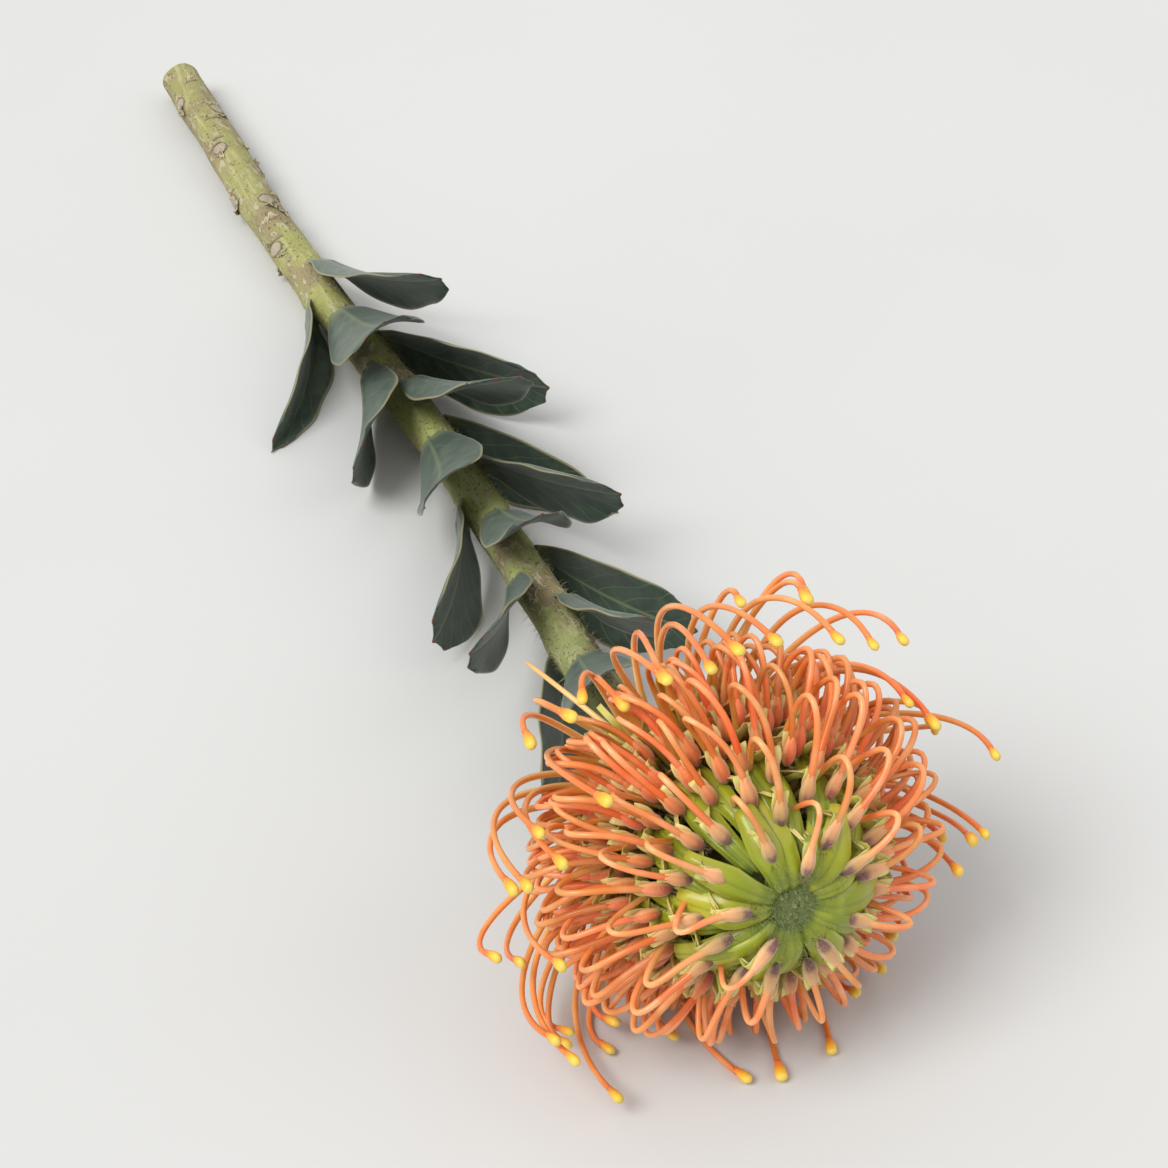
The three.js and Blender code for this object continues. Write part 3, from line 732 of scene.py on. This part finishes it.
def bract_rows(shape):
    """Overlapping pointed bracts round the cup, their tips standing a little off it."""
    u, v = blade_grid(16, 13)
    number = 0
    for row, count in enumerate(BRACTS_IN_ROW):
        part = row / (len(BRACTS_IN_ROW) - 1)
        outline = np.sin(math.pi * np.clip(0.2 + 0.8 * u**0.85, 0, 1)) ** 0.85
        half_width = mix(3.7, 4.3, part) * outline
        for place in range(count):
            number += 1
            azimuth = 2 * math.pi * (place + 0.5 * (row % 2) + 0.12 * jitter(number, 70)) / count
            reach = mix(8.6, 9.6, part) * uneven(0.12, number, 71)
            z = mix(CUP["bottom"] - 0.4, -6, part) + reach * u - 0.6 * v * v * (1 - u)
            flare = (2.2 + 1.2 * jitter(number, 72)) * u**3.5
            hug = 0.16 * v * v * half_width * (0.4 + u)
            ripple = 0.14 * np.sin(9 * u + 5 * v + number)
            grid = cup_points(z, half_width * v, 0.1 + 1.35 * u + flare - hug + ripple, azimuth)
            thickness = 0.5 * (1 - 0.75 * np.abs(v) ** 3) * (1 - 0.6 * u**4)
            sheet(shape, grid, thickness, along=u, aside=v, chance=scatter(number, 73))


def bracts(shape):
    """The bracts and the closed cup that they overlap on."""
    bract_rows(shape)
    z = np.linspace(CUP["bottom"] - 1.5, 3, 14)[:, None]
    tube(shape, cup_points(z, 0.0, -0.3, turns(40)), along=0.0, aside=0.0, chance=0.5, underside=1.0)


def neck_wool(shape):
    """Woolly hairs on the bracts and at the foot of the flower head."""
    index = np.arange(WOOL_HAIRS)
    z = mix(CUP["bottom"] - 8, 4, scatter(index, 74) ** 0.8)
    below = np.minimum(0, z - CUP["bottom"])
    above = np.maximum(0, z - CUP["bottom"])
    roots = cup_points(z, 0.0, 0.2 + 0.04 * below + 0.13 * above, index * GOLDEN_ANGLE)
    out = unit(roots - NECK - np.outer(z, HEAD_ALONG))
    lean = jitter_3d(index, 75)
    headings = unit(out + 0.9 * HEAD_ALONG + 0.8 * lean)
    lengths = 1.8 + 2.6 * scatter(index, 78)
    hairs(shape, roots, headings, lengths, 0.045, -0.4 * out + 0.4 * lean, 0.5, 6)


# Stem


def spiral_turn(index, from_down):
    """Turn round the stem from straight up; nothing is left nearer to straight down than from_down."""
    turn = np.mod(SPIRAL_DEGREES * index + FIRST_LEAF_TURN, 360)
    sideways = mix(from_down, 180, np.abs(turn - 180) / 180)
    return math.radians(180 + np.sign(turn - 180) * sideways)


def leaf_rule(index):
    """Place and size of one leaf, from the lowest to the one under the flower head."""
    t = index / (LEAF_COUNT - 1)
    reach = mix(LOW_LEAF["length"], TOP_LEAF["length"], t**1.3)
    half_width = mix(LOW_LEAF["half_width"], TOP_LEAF["half_width"], t)
    return SimpleNamespace(
        x=mix(FIRST_LEAF_X, LAST_LEAF_X, t),
        turn=spiral_turn(index, mix(LOW_LEAF["from_down"], TOP_LEAF["from_down"], t)),
        length=reach * uneven(0.08, index, 1),
        half_width=half_width * uneven(0.08, index, 2),
        open_at_base=LEAF_OPENING["base"] + 0.08 * jitter(index, 3),
        open_at_tip=LEAF_OPENING["tip"] + 0.2 * jitter(index, 4),
    )


def scar_place(k):
    """How far along the stem and round it a leaf scar is, counted down from the lowest leaf."""
    return FIRST_LEAF_X - SCAR_SPACING * k, spiral_turn(-k, SCAR["from_down"])


def turn_from(turn, middle):
    """How far round the stem a turn is from another, from minus half a turn to half a turn."""
    return np.mod(turn - middle + math.pi, 2 * math.pi) - math.pi


def stem_marks(x, turn):
    """Relief of the stem in millimetres and how much of a leaf scar is at each place."""
    relief = 0.2 * np.sin(0.11 * x + 3 * turn) + 0.12 * np.sin(0.23 * x - 2 * turn)
    relief = relief + 0.07 * np.cos(5 * turn + 0.013 * x)
    scar = np.zeros_like(relief)
    for k in range(1, SCAR_COUNT + 1):
        scar_x, scar_turn = scar_place(k)
        around = turn_from(turn, scar_turn) * CUT_RADIUS
        q = np.hypot((x - scar_x) / SCAR["half_length"], around / SCAR["half_width"])
        relief += SCAR["height"] * (1 - smooth_step(0.5, 1.5, q)) + SCAR["rim"] * bell(q - 0.85, 0.2)
        scar = np.maximum(scar, 1 - smooth_step(0.75, 1.05, q))
    for index in range(LEAF_COUNT):
        rule = leaf_rule(index)
        foot = bell(x - rule.x + 1, LEAF_FOOT["half_length"])
        around = turn_from(turn, rule.turn) * LEAF_FOOT["stem_radius"]
        relief += LEAF_FOOT["height"] * foot * bell(around, LEAF_FOOT["half_width"])
    return relief, scar


def stem_skin(x, turn, shrink=1.0):
    """Points on the stem's skin, and the directions out of it."""
    point, _, side, up = stem_axis(x)
    relief, _ = stem_marks(x, turn)
    radius = ((stem_radius(x) + relief) * shrink)[..., None]
    out = up * np.cos(turn)[..., None] + side * np.sin(turn)[..., None]
    return point + out * radius, out


def woody_stem(shape):
    """The stem's skin, with leaf scars, and its straight cut."""
    end = NECK_X + CUP["bottom"] * math.cos(NECK_LEAN) + 1
    skin_x = np.linspace(CUT_RINGS["skin_from"], end, STEM_RINGS)
    x = np.concatenate([CUT_RINGS["x"], skin_x])[:, None]
    shrink = np.concatenate([CUT_RINGS["size"], np.ones(STEM_RINGS)])[:, None]
    x, turn, shrink = np.broadcast_arrays(x, turns(STEM_COLUMNS), shrink)
    points, _ = stem_skin(x, turn, shrink)
    points[..., 2] = np.maximum(points[..., 2], LOWEST_BARK)
    _, scar = stem_marks(x, turn)
    cut = np.where(x < CUT_RINGS["skin_from"], shrink, 0)
    tube(shape, points, along=x / NECK_X, scar=scar, cut=cut, turn=turn / (2 * math.pi))


def bark_flakes(shape):
    """Torn papery bark beside the leaf scars and between them."""
    columns = 13
    u, v = blade_grid(9, columns)
    for number in range(FLAKES):
        scar_x, scar_turn = scar_place(1 + number % SCAR_COUNT)
        hand = 1 if number % 2 else -1
        spread = 0.3 if number < 2 * SCAR_COUNT else 2.6
        x = scar_x + hand * 2.4 + 2 * spread * jitter(number, 86)
        turn = scar_turn + spread * jitter(number, 87)
        ragged = 1 - 0.6 * scatter(np.arange(columns)[None] + columns * number, 88)
        reach = (1.4 + 2.6 * scatter(number, 89)) * (ragged - 0.5 * v**2)
        half_width = (1.2 + 1.5 * scatter(number, 90)) * (1 - 0.35 * u)
        points, out = stem_skin(x + hand * reach * u, turn + v * half_width / CUT_RADIUS)
        lift = 0.04 + (0.4 + 1.1 * scatter(number, 91)) * u**1.7 * (0.7 + 0.3 * np.sin(4 * v + number))
        if points[..., 2].min() > CLEAR_OF_TABLE:
            points = points + out * lift[..., None]
            sheet(shape, points, FLAKE_THICKNESS, along=u, chance=scatter(number, 92))


def stem_hairs(shape):
    """Short hairs on the stem, longer towards the flower head, but not where it lies on the table."""
    index = np.arange(STEM_HAIRS)
    x = mix(6, NECK_X - 14, scatter(index, 80) ** 0.75)
    roots, out = stem_skin(x, index * GOLDEN_ANGLE)
    lean = jitter_3d(index, 81)
    lengths = mix(0.7, 1.9, (x / NECK_X) ** 2) * (0.6 + 0.7 * scatter(index, 84))
    headings = unit(out + 0.5 * lean)
    kept = roots[:, 2] > CLEAR_OF_TABLE
    hairs(shape, roots[kept], headings[kept], lengths[kept], 0.045, 0.3 * lean[kept])


# Leaves


def leaf(shape, index):
    """A leaf, cupped round the stem at its base and waved towards its toothed tip."""
    rule = leaf_rule(index)
    rows = 44
    u, v = blade_grid(rows, 41)
    point, along, side, up = stem_axis(rule.x)
    out = up * math.cos(rule.turn) + side * math.sin(rule.turn)
    across = np.cross(along, out)
    radius = stem_radius(rule.x)

    def directions(share):
        """Forward along the leaf and out of its upper face."""
        angle = mix(rule.open_at_base, rule.open_at_tip, share)
        return along * np.cos(angle) + out * np.sin(angle), out * np.cos(angle) - along * np.sin(angle)

    stride, _ = directions(u - CAD_LEAF_STEP / 2)
    forward, normal = directions(u)
    clear = mix(-0.25, 0.9, smooth_step(0, 0.12, u))
    midrib = point + out * (radius + clear) + np.cumsum(stride, axis=0) * rule.length / (rows - 1)
    half_width = rule.half_width * np.sin(0.3 + 2.13 * u) * (1 - 0.16 * u**10 * v**6)
    half_width = half_width * (1 + 0.025 * np.sin(9 * u + 5 * index) * np.sign(v))
    bend_radius = mix(radius + 1.2, TIP_BEND_RADIUS, u**0.8)
    turn = v * half_width / bend_radius
    wave = 0.9 * u * v * v * np.sin(7 * u + 3 * v + index)
    wave = wave + 0.35 * u * np.abs(v) ** 3 * np.sin(19 * u + 2 * index)
    crease = 0.35 * bell(v, 0.07) * (1 - 0.7 * u)
    teeth = sum(bell(v - place, 0.12) for place in TOOTH_PLACES)
    reach = TOOTH_LENGTH * teeth * (1 - 0.4 * np.abs(v)) - TIP_ROUNDING * rule.length * v**2
    grid = (
        midrib[:, None]
        + across * (bend_radius * np.sin(turn))[..., None]
        + normal[:, None] * (wave + crease - bend_radius * (1 - np.cos(turn)))[..., None]
        + forward[:, None] * (u**3 * reach)[..., None]
    )
    grid[..., 2] = height_on_table(grid[..., 2], LEAF_SOFT_HEIGHT, LOWEST_LEAF)
    edge = np.minimum(1 - np.abs(v), (1 - u) * 1.5)
    thickness = LEAF_THICKNESS * (0.35 + 0.65 * smooth_step(0, 0.12, edge))
    thickness = thickness + MIDRIB_THICKNESS * bell(v, 0.06) * (1 - u)
    tooth = smooth_step(0.35, 0.9, teeth) * smooth_step(0.965, 0.998, u)
    sheet(shape, grid, thickness, along=u, aside=v, tooth=tooth, chance=scatter(index, 85))


# Materials. A colour is written as the 0 to 255 values that a screen shows.

DEEP_ORANGE = (226, 108, 44)
SALMON = (238, 140, 80)
# The peach below is a painted highlight, put where the styles at the crown bend
BEND_HIGHLIGHT_PEACH = (249, 182, 120)
PALE_GREEN = (206, 204, 122)
YELLOW_GREEN = (150, 168, 48)


def shade(colour):
    """The linear colour that a shader takes, for values above 10, as all of these are."""
    return tuple(((c / 255 + 0.055) / 1.055) ** 2.4 for c in colour) + (1,)


class Paint:
    """Adds the nodes of one material. A text where a number goes names one that the mesh carries."""

    def __init__(self, tree):
        self.tree = tree

    def put(self, socket, value):
        """Feeds a socket from another one or from the mesh, or sets its number, vector or colour."""
        if isinstance(value, str):
            value = self.node("Attribute", output="Fac", attribute_name=value)
        if isinstance(value, bpy.types.NodeSocket):
            self.tree.links.new(value, socket)
        else:
            socket.default_value = shade(value) if socket.type == "RGBA" else value

    def node(self, kind, inputs=None, output=0, **settings):
        """Adds a node and returns one of its outputs."""
        made = self.tree.nodes.new("ShaderNode" + kind)
        for name, value in settings.items():
            setattr(made, name, value)
        for key, value in (inputs or {}).items():
            self.put(made.inputs[key], value)
        return made.outputs[output]

    def away(self):
        """0 in the middle of a strand or a blade and 1 at its edges."""
        return self.math("ABSOLUTE", "aside")

    def math(self, operation, *values):
        return self.node("Math", dict(enumerate(values)), operation=operation)

    def share(self, value, low, high):
        """0 below low, 1 above high and smooth in between."""
        inputs = {"Value": value, "From Min": low, "From Max": high}
        return self.node("MapRange", inputs, interpolation_type="SMOOTHSTEP")

    def spread(self, value, low, high):
        """From low, where the value is 0, to high, where it is 1."""
        return self.node("MapRange", {"Value": value, "To Min": low, "To Max": high})

    def ramp(self, factor, *stops):
        """A colour that goes from stop to stop as the factor grows."""
        colour = self.node("ValToRGB", {"Fac": factor})
        elements = colour.node.color_ramp.elements
        while len(elements) < len(stops):
            elements.new(0.5)
        for element, (place, stop) in zip(elements, stops):
            element.position = place
            element.color = shade(stop)
        return colour

    def blend(self, factor, first, second):
        """The first colour where the factor is 0 and the second where it is 1."""
        return self.node("Mix", {0: factor, 6: first, 7: second}, 2, data_type="RGBA")

    def tint(self, colour, mask, amount, towards):
        """The colour, moved by this amount towards another one where the mask is 1."""
        return self.blend(self.math("MULTIPLY", mask, amount), colour, towards)

    def varied(self, colour, spread):
        """The colour a little lighter or darker from strand to strand."""
        hue = self.spread("chance", 0.5 + 0.06 * spread, 0.5 - 0.06 * spread)
        value = self.spread("chance", 1 - spread, 1 + spread)
        return self.node("HueSaturation", {"Hue": hue, "Value": value, "Color": colour})

    def noise(self, place, scale, detail):
        return self.node("TexNoise", {"Vector": place, "Scale": scale, "Detail": detail})

    def grain(self, scale, detail=3.0, stretch=(1, 1, 1)):
        """Noise in metres of the object, stretched along its axes."""
        place = self.node("TexCoord", output="Object")
        return self.noise(self.node("Mapping", {"Vector": place, "Scale": stretch}), scale, detail)

    def flat_noise(self, x, y, scale, detail):
        """Noise over two numbers that the mesh carries."""
        return self.noise(self.node("CombineXYZ", {"X": x, "Y": y}), scale, detail)

    def streak(self, scale=5.0):
        """Noise that changes slowly along a strand and from one strand to the next."""
        return self.flat_noise("along", self.math("MULTIPLY", "chance", 61.0), scale, 2.0)


def material(name, paint, roughness, bump=0.3, depth=0.1, shader=None):
    """A material; paint gives its colour and its relief, which is this strong and this deep."""
    made = bpy.data.materials.new(name)
    made.use_nodes = True
    p = Paint(made.node_tree)
    colour, relief = paint(p)
    normal = p.node("Bump", {"Height": relief, "Strength": bump, "Distance": depth * MM})
    inputs = {"Base Color": colour, "Normal": normal, "Roughness": roughness, **(shader or {})}
    surface = made.node_tree.nodes["Principled BSDF"]
    for key, value in inputs.items():
        p.put(surface.inputs[key], value)
    return made


def paint_hooped_style(p):
    # Along each style, the deeper orange of the lower leg (0.42 at the side, 0.35 at the crown) is
    # painted shade, and the paler peach at the bend (0.58 and 0.55) is a painted highlight
    side = p.ramp("along", (0.05, PALE_GREEN), (0.28, (236, 170, 84)), (0.42, (230, 126, 58)),
                  (0.58, (247, 166, 104)), (0.8, (236, 134, 70)), (0.95, DEEP_ORANGE))
    crown = p.ramp("along", (0.05, PALE_GREEN), (0.35, (230, 126, 64)), (0.55, BEND_HIGHLIGHT_PEACH), (0.75, SALMON),
                   (0.97, (228, 168, 106)))
    colour = p.blend(p.share("row", 0.5, 1.0), side, crown)
    colour = p.tint(colour, p.share(p.streak(), 0.45, 0.75), 0.5, (251, 194, 138))
    return p.varied(colour, 0.16), p.grain(1200, 2)


def paint_limb(p):
    side = p.ramp("along", (0.0, (238, 144, 82)), (0.3, (228, 118, 58)), (0.75, (208, 100, 50)),
                  (1.0, (140, 84, 60)))
    crown = p.ramp("along", (0.0, (232, 162, 112)), (0.3, (214, 158, 104)), (0.54, (190, 142, 94)),
                   (0.68, (120, 78, 72)), (1.0, (88, 58, 60)))
    colour = p.blend(p.share("row", 0.35, 0.75), side, crown)
    down = p.grain(2600, 4)
    colour = p.tint(colour, p.share(down, 0.5, 0.8), 0.45, (214, 186, 140))
    seam = p.share(p.away(), 0.5, 0.95)
    colour = p.tint(colour, seam, 0.45, (230, 196, 130))
    return p.varied(colour, 0.14), down


def paint_perianth(p):
    side = p.ramp("along", (0.0, (188, 186, 92)), (0.4, (194, 184, 88)), (0.75, (228, 206, 132)),
                  (1.0, (228, 172, 108)))
    crown = p.ramp("along", (0.0, (138, 148, 44)), (0.45, YELLOW_GREEN), (0.75, (216, 208, 120)),
                   (1.0, (232, 202, 136)))
    colour = p.blend(p.share("row", 0.25, 0.75), side, crown)
    colour = p.tint(colour, p.share(p.streak(7.0), 0.45, 0.75), 0.6, (222, 208, 148))
    return p.varied(colour, 0.18), p.grain(1500)


def paint_spent(p):
    fresh = p.ramp("along", (0.0, (180, 184, 76)), (0.6, (200, 196, 98)), (1.0, (208, 178, 100)))
    dry = p.ramp("along", (0.0, (170, 164, 80)), (0.6, (190, 160, 98)), (1.0, (174, 122, 72)))
    colour = p.blend(p.share("chance", 0.4, 0.9), fresh, dry)
    return p.varied(colour, 0.15), p.grain(1700)


def paint_released(p):
    colour = p.ramp("along", (0.1, (222, 208, 124)), (0.35, (244, 192, 116)), (0.6, (242, 162, 90)),
                    (0.88, (236, 134, 68)), (1.0, (230, 112, 50)))
    colour = p.tint(colour, p.share(p.streak(), 0.45, 0.8), 0.5, (250, 202, 134))
    return p.varied(colour, 0.1), p.grain(1200, 2)


def paint_presenter(p):
    colour = p.ramp("along", (0.05, (232, 116, 50)), (0.32, (242, 148, 48)), (0.55, (244, 178, 48)),
                    (0.85, (242, 202, 74)), (1.0, (214, 190, 92)))
    pollen = p.grain(3200, 4)
    colour = p.tint(colour, p.share(pollen, 0.5, 0.75), 0.5, (250, 222, 120))
    return p.varied(colour, 0.08), pollen


def paint_fold(p):
    away = p.away()
    colour = p.ramp("along", (0.0, (92, 108, 46)), (0.22, (116, 128, 26)), (0.6, (144, 152, 24)),
                    (1.0, (182, 174, 54)))
    colour = p.blend(p.share(p.streak(4.0), 0.4, 0.8), colour, (154, 162, 46))
    # Painted shade: each fold is darkened along the crease in its middle
    crease = p.math("SUBTRACT", 0.35, p.share(away, 0.0, 0.35))
    colour = p.blend(crease, colour, (92, 106, 26))
    # The paler margins are partly the folds' own paler tone and partly painted light shining through the
    # thin edges
    colour = p.tint(colour, p.share(away, 0.74, 0.98), 0.55, (186, 190, 88))
    return p.varied(colour, 0.16), p.grain(1300)


def paint_bud(p):
    colour = p.ramp("along", (0.4, (118, 134, 52)), (0.8, (124, 140, 74)), (1.0, (142, 152, 100)))
    return p.varied(colour, 0.12), p.grain(2800, 4)


def paint_core(p):
    colour = p.ramp("along", (0.0, (132, 136, 78)), (1.0, (104, 112, 44)))
    rough = p.grain(900, 5)
    return p.blend(rough, colour, (150, 142, 92)), rough


def paint_down(pale, dark):
    """The paint of hairs, each of which has a shade between these two."""
    return lambda p: (p.ramp("chance", (0.0, pale), (1.0, dark)), p.grain(3000, 1))


def paint_bract(p):
    colour = p.ramp("along", (0.0, (100, 114, 74)), (0.55, (136, 150, 98)), (0.88, (166, 158, 106)),
                    (1.0, (120, 78, 56)))
    colour = p.blend(p.share(p.away(), 0.62, 0.98), colour, (198, 194, 156))
    down = p.grain(3200, 4)
    colour = p.tint(colour, p.share(down, 0.45, 0.7), 0.55, (188, 194, 168))
    return p.varied(colour, 0.1), down


def paint_stem(p):
    """Green bark with corky patches, dark flecks and scars, and pale wood on the cut face."""
    colour = p.ramp("along", (0.0, (146, 142, 88)), (0.5, (160, 162, 92)), (1.0, (146, 154, 100)))
    streak = p.grain(700, 4, (0.1, 1, 1))
    colour = p.tint(colour, p.share(streak, 0.5, 0.72), 0.6, (188, 184, 136))
    bark = p.grain(110, 6, (0.6, 1, 1))
    colour = p.tint(colour, p.share(bark, 0.46, 0.62), 0.8, (140, 122, 94))
    cork = p.share(p.grain(640, 5, (0.5, 1, 1)), 0.52, 0.62)
    cork = p.math("MULTIPLY", cork, p.share(bark, 0.4, 0.55))
    colour = p.tint(colour, cork, 0.7, (186, 176, 148))
    fleck = p.share(p.grain(1300, 4), 0.59, 0.66)
    fleck = p.math("MULTIPLY", fleck, p.share(p.grain(150, 3), 0.38, 0.56))
    colour = p.tint(colour, fleck, 0.85, (88, 66, 50))
    scar_colour = p.ramp("scar", (0.15, (96, 80, 58)), (0.6, (128, 112, 88)), (0.95, (166, 156, 136)))
    colour = p.blend(p.share("scar", 0.02, 0.3), colour, scar_colour)
    face = p.ramp("cut", (0.05, (196, 178, 132)), (0.17, (206, 190, 142)), (0.24, (226, 218, 178)),
                  (0.76, (220, 212, 166)), (0.86, (180, 188, 112)), (0.93, (150, 152, 92)),
                  (0.985, (104, 92, 64)))
    ray = p.flat_noise(p.math("MULTIPLY", "turn", 90.0), "cut", 1.0, 3.0)
    face = p.tint(face, p.share(ray, 0.5, 0.75), 0.45, (240, 234, 204))
    on_face = p.share("cut", 0.0, 0.02)
    colour = p.blend(on_face, colour, face)
    relief = p.math("ADD", streak, p.math("MULTIPLY", bark, 1.5))
    relief = p.math("ADD", relief, p.math("MULTIPLY", cork, 0.8))
    relief = p.math("SUBTRACT", relief, p.math("MULTIPLY", fleck, 0.5))
    return colour, p.math("MULTIPLY", relief, p.math("SUBTRACT", 1.0, on_face))


def paint_flake(p):
    colour = p.ramp("along", (0.0, (126, 108, 78)), (0.5, (164, 150, 116)), (1.0, (196, 186, 156)))
    fibre = p.grain(1500, 4)
    colour = p.blend(p.share(fibre, 0.5, 0.7), colour, (108, 88, 66))
    return p.varied(colour, 0.2), fibre


def paint_leaf(p):
    """Mottled blue-green with paler veins, foot and margin, brown spots and red-brown teeth."""
    away = p.away()
    flow = p.math("SUBTRACT", p.math("MULTIPLY", "along", 7.0), p.math("MULTIPLY", away, 2.6))
    flow = p.math("ADD", flow, p.grain(120, 2))
    vein = p.share(p.math("PINGPONG", flow, 0.5), 0.43, 0.5)
    midrib = p.math("SUBTRACT", 1.0, p.share(away, 0.015, 0.07))
    veins = p.math("MAXIMUM", p.math("MULTIPLY", vein, 0.6), midrib)
    mottle = p.grain(260, 4)
    upper = p.ramp(mottle, (0.3, (36, 52, 42)), (0.7, (58, 78, 60)))
    lower = p.ramp(mottle, (0.3, (58, 74, 62)), (0.7, (84, 100, 84)))
    colour = p.blend("underside", upper, lower)
    colour = p.tint(colour, veins, 0.55, (112, 128, 88))
    foot = p.math("SUBTRACT", 1.0, p.share("along", 0.0, 0.14))
    colour = p.tint(colour, foot, 0.7, (132, 142, 92))
    colour = p.tint(colour, p.share(away, 0.93, 0.99), 0.75, (156, 146, 108))
    colour = p.tint(colour, p.share(p.grain(330, 3), 0.7, 0.76), 0.6, (96, 76, 50))
    colour = p.blend(p.share("tooth", 0.3, 0.8), colour, (112, 58, 42))
    relief = p.math("SUBTRACT", mottle, p.math("MULTIPLY", veins, 0.8))
    return p.varied(colour, 0.12), relief


def paint_floor(p):
    haze = p.grain(6, 3)
    return p.ramp(haze, (0.3, (202, 202, 200)), (0.7, (205, 205, 203))), haze


# Scene

WAXY = {"Subsurface Weight": 0.1, "Subsurface Scale": 0.002}
THIN = {"Subsurface Weight": 0.2, "Subsurface Scale": 0.002}
POWDERY = {"Subsurface Weight": 0.1, "Subsurface Scale": 0.001}

# The pieces of each CAD node and slot. A row has the function that makes the shape and names the piece,
# and then what material() takes.
PIECES = {
    ("flower_head", "floret"): (
        (hooped_styles, paint_hooped_style, 0.25, 0.15, 0.1, WAXY),
        (limbs, paint_limb, 0.6, 0.5, 0.1, {"Sheen Weight": 0.35}),
        (perianths, paint_perianth, 0.38, 0.3, 0.1, THIN),
        (spent_perianths, paint_spent, 0.5, 0.3, 0.1, THIN),
        (released_styles, paint_released, 0.26, 0.15, 0.1, WAXY),
        (pollen_presenters, paint_presenter, 0.48, 0.5, 0.1, POWDERY),
        (head_core, paint_core, 0.7, 0.6, 0.4),
        (limb_down, paint_down((150, 116, 104), (88, 60, 62)), 0.7),
    ),
    ("crown_buds", "bud"): (
        (crown_folds, paint_fold, 0.3, 0.3, 0.1, WAXY),
        (closed_buds, paint_bud, 0.6, 0.5),
        (crown_down, paint_down((186, 196, 136), (132, 150, 84)), 0.7),
    ),
    ("involucre", "bract"): (
        (bracts, paint_bract, 0.7, 0.6, 0.15, {"Sheen Weight": 0.3}),
        (neck_wool, paint_down((222, 224, 206), (172, 178, 148)), 0.75),
    ),
    ("stem", "stem"): (
        (woody_stem, paint_stem, 0.72, 0.8, 0.4),
        (bark_flakes, paint_flake, 0.85, 0.5, 0.15),
        (stem_hairs, paint_down((212, 208, 178), (160, 152, 112)), 0.7),
    ),
}


def add_flower():
    """Adds every piece of the flower: those of the table above, and the blades, which share one skin."""
    for (node, slot), rows in PIECES.items():
        for make, *look in rows:
            name = make.__name__
            add_piece(name, slot, node, material(name, *look), make)
    skin = material("leaf", paint_leaf, 0.46, 0.5, 0.12, {"Sheen Weight": 0.15})
    for index in range(LEAF_COUNT):
        number = f"{index + 1:02d}"
        add_piece("blade_" + number, "leaf", "leaf_" + number, skin, leaf, index)


def add_floor():
    """A wide pale floor."""
    mesh = bpy.data.meshes.new("floor")
    size = FLOOR_HALF_SIZE
    corners = [(-size, -size, 0), (size, -size, 0), (size, size, 0), (-size, size, 0)]
    mesh.from_pydata(corners, [], [(0, 1, 2, 3)])
    mesh.materials.append(material("floor", paint_floor, 0.6, 0.02))
    floor = new_object("floor", mesh)


def view_from(azimuth, elevation):
    """The direction towards a camera or a lamp; azimuth 0 is at -Y and 90 at +X."""
    azimuth, elevation = math.radians(azimuth), math.radians(elevation)
    level = math.cos(elevation)
    return Vector((math.sin(azimuth) * level, -math.cos(azimuth) * level, math.sin(elevation)))


def add_sun(name, sun):
    """A broad soft lamp so far away that it lights the floor evenly."""
    lamp = bpy.data.lights.new(name, "SUN")
    lamp.energy = sun["strength"]
    lamp.angle = math.radians(SUN_ANGLE)
    towards = view_from(sun["azimuth"], sun["elevation"])
    new_object(name, lamp).rotation_euler = towards.to_track_quat("Z", "Y").to_euler()


def add_lights():
    add_sun("key", KEY_SUN)
    add_sun("fill", FILL_SUN)
    world = bpy.data.worlds.new("studio")
    world.use_nodes = True
    background = world.node_tree.nodes["Background"]
    background.inputs["Color"].default_value = (1, 1, 1, 1)
    background.inputs["Strength"].default_value = WORLD_STRENGTH
    bpy.context.scene.world = world
    bpy.context.scene.view_settings.view_transform = "Standard"


def add_camera():
    """The camera looks down on the flower, at the steepness that the photograph was taken at."""
    back = view_from(CAMERA_AZIMUTH, CAMERA_ELEVATION)
    lens = bpy.data.cameras.new("camera")
    lens.lens = CAMERA_LENS
    lens.clip_start = 0.01
    camera = new_object("camera", lens)
    camera.location = Vector(CAMERA_TARGET) + back * CAMERA_DISTANCE
    camera.rotation_euler = back.to_track_quat("Z", "Y").to_euler()
    bpy.context.scene.camera = camera


add_flower()
add_floor()
add_lights()
add_camera()
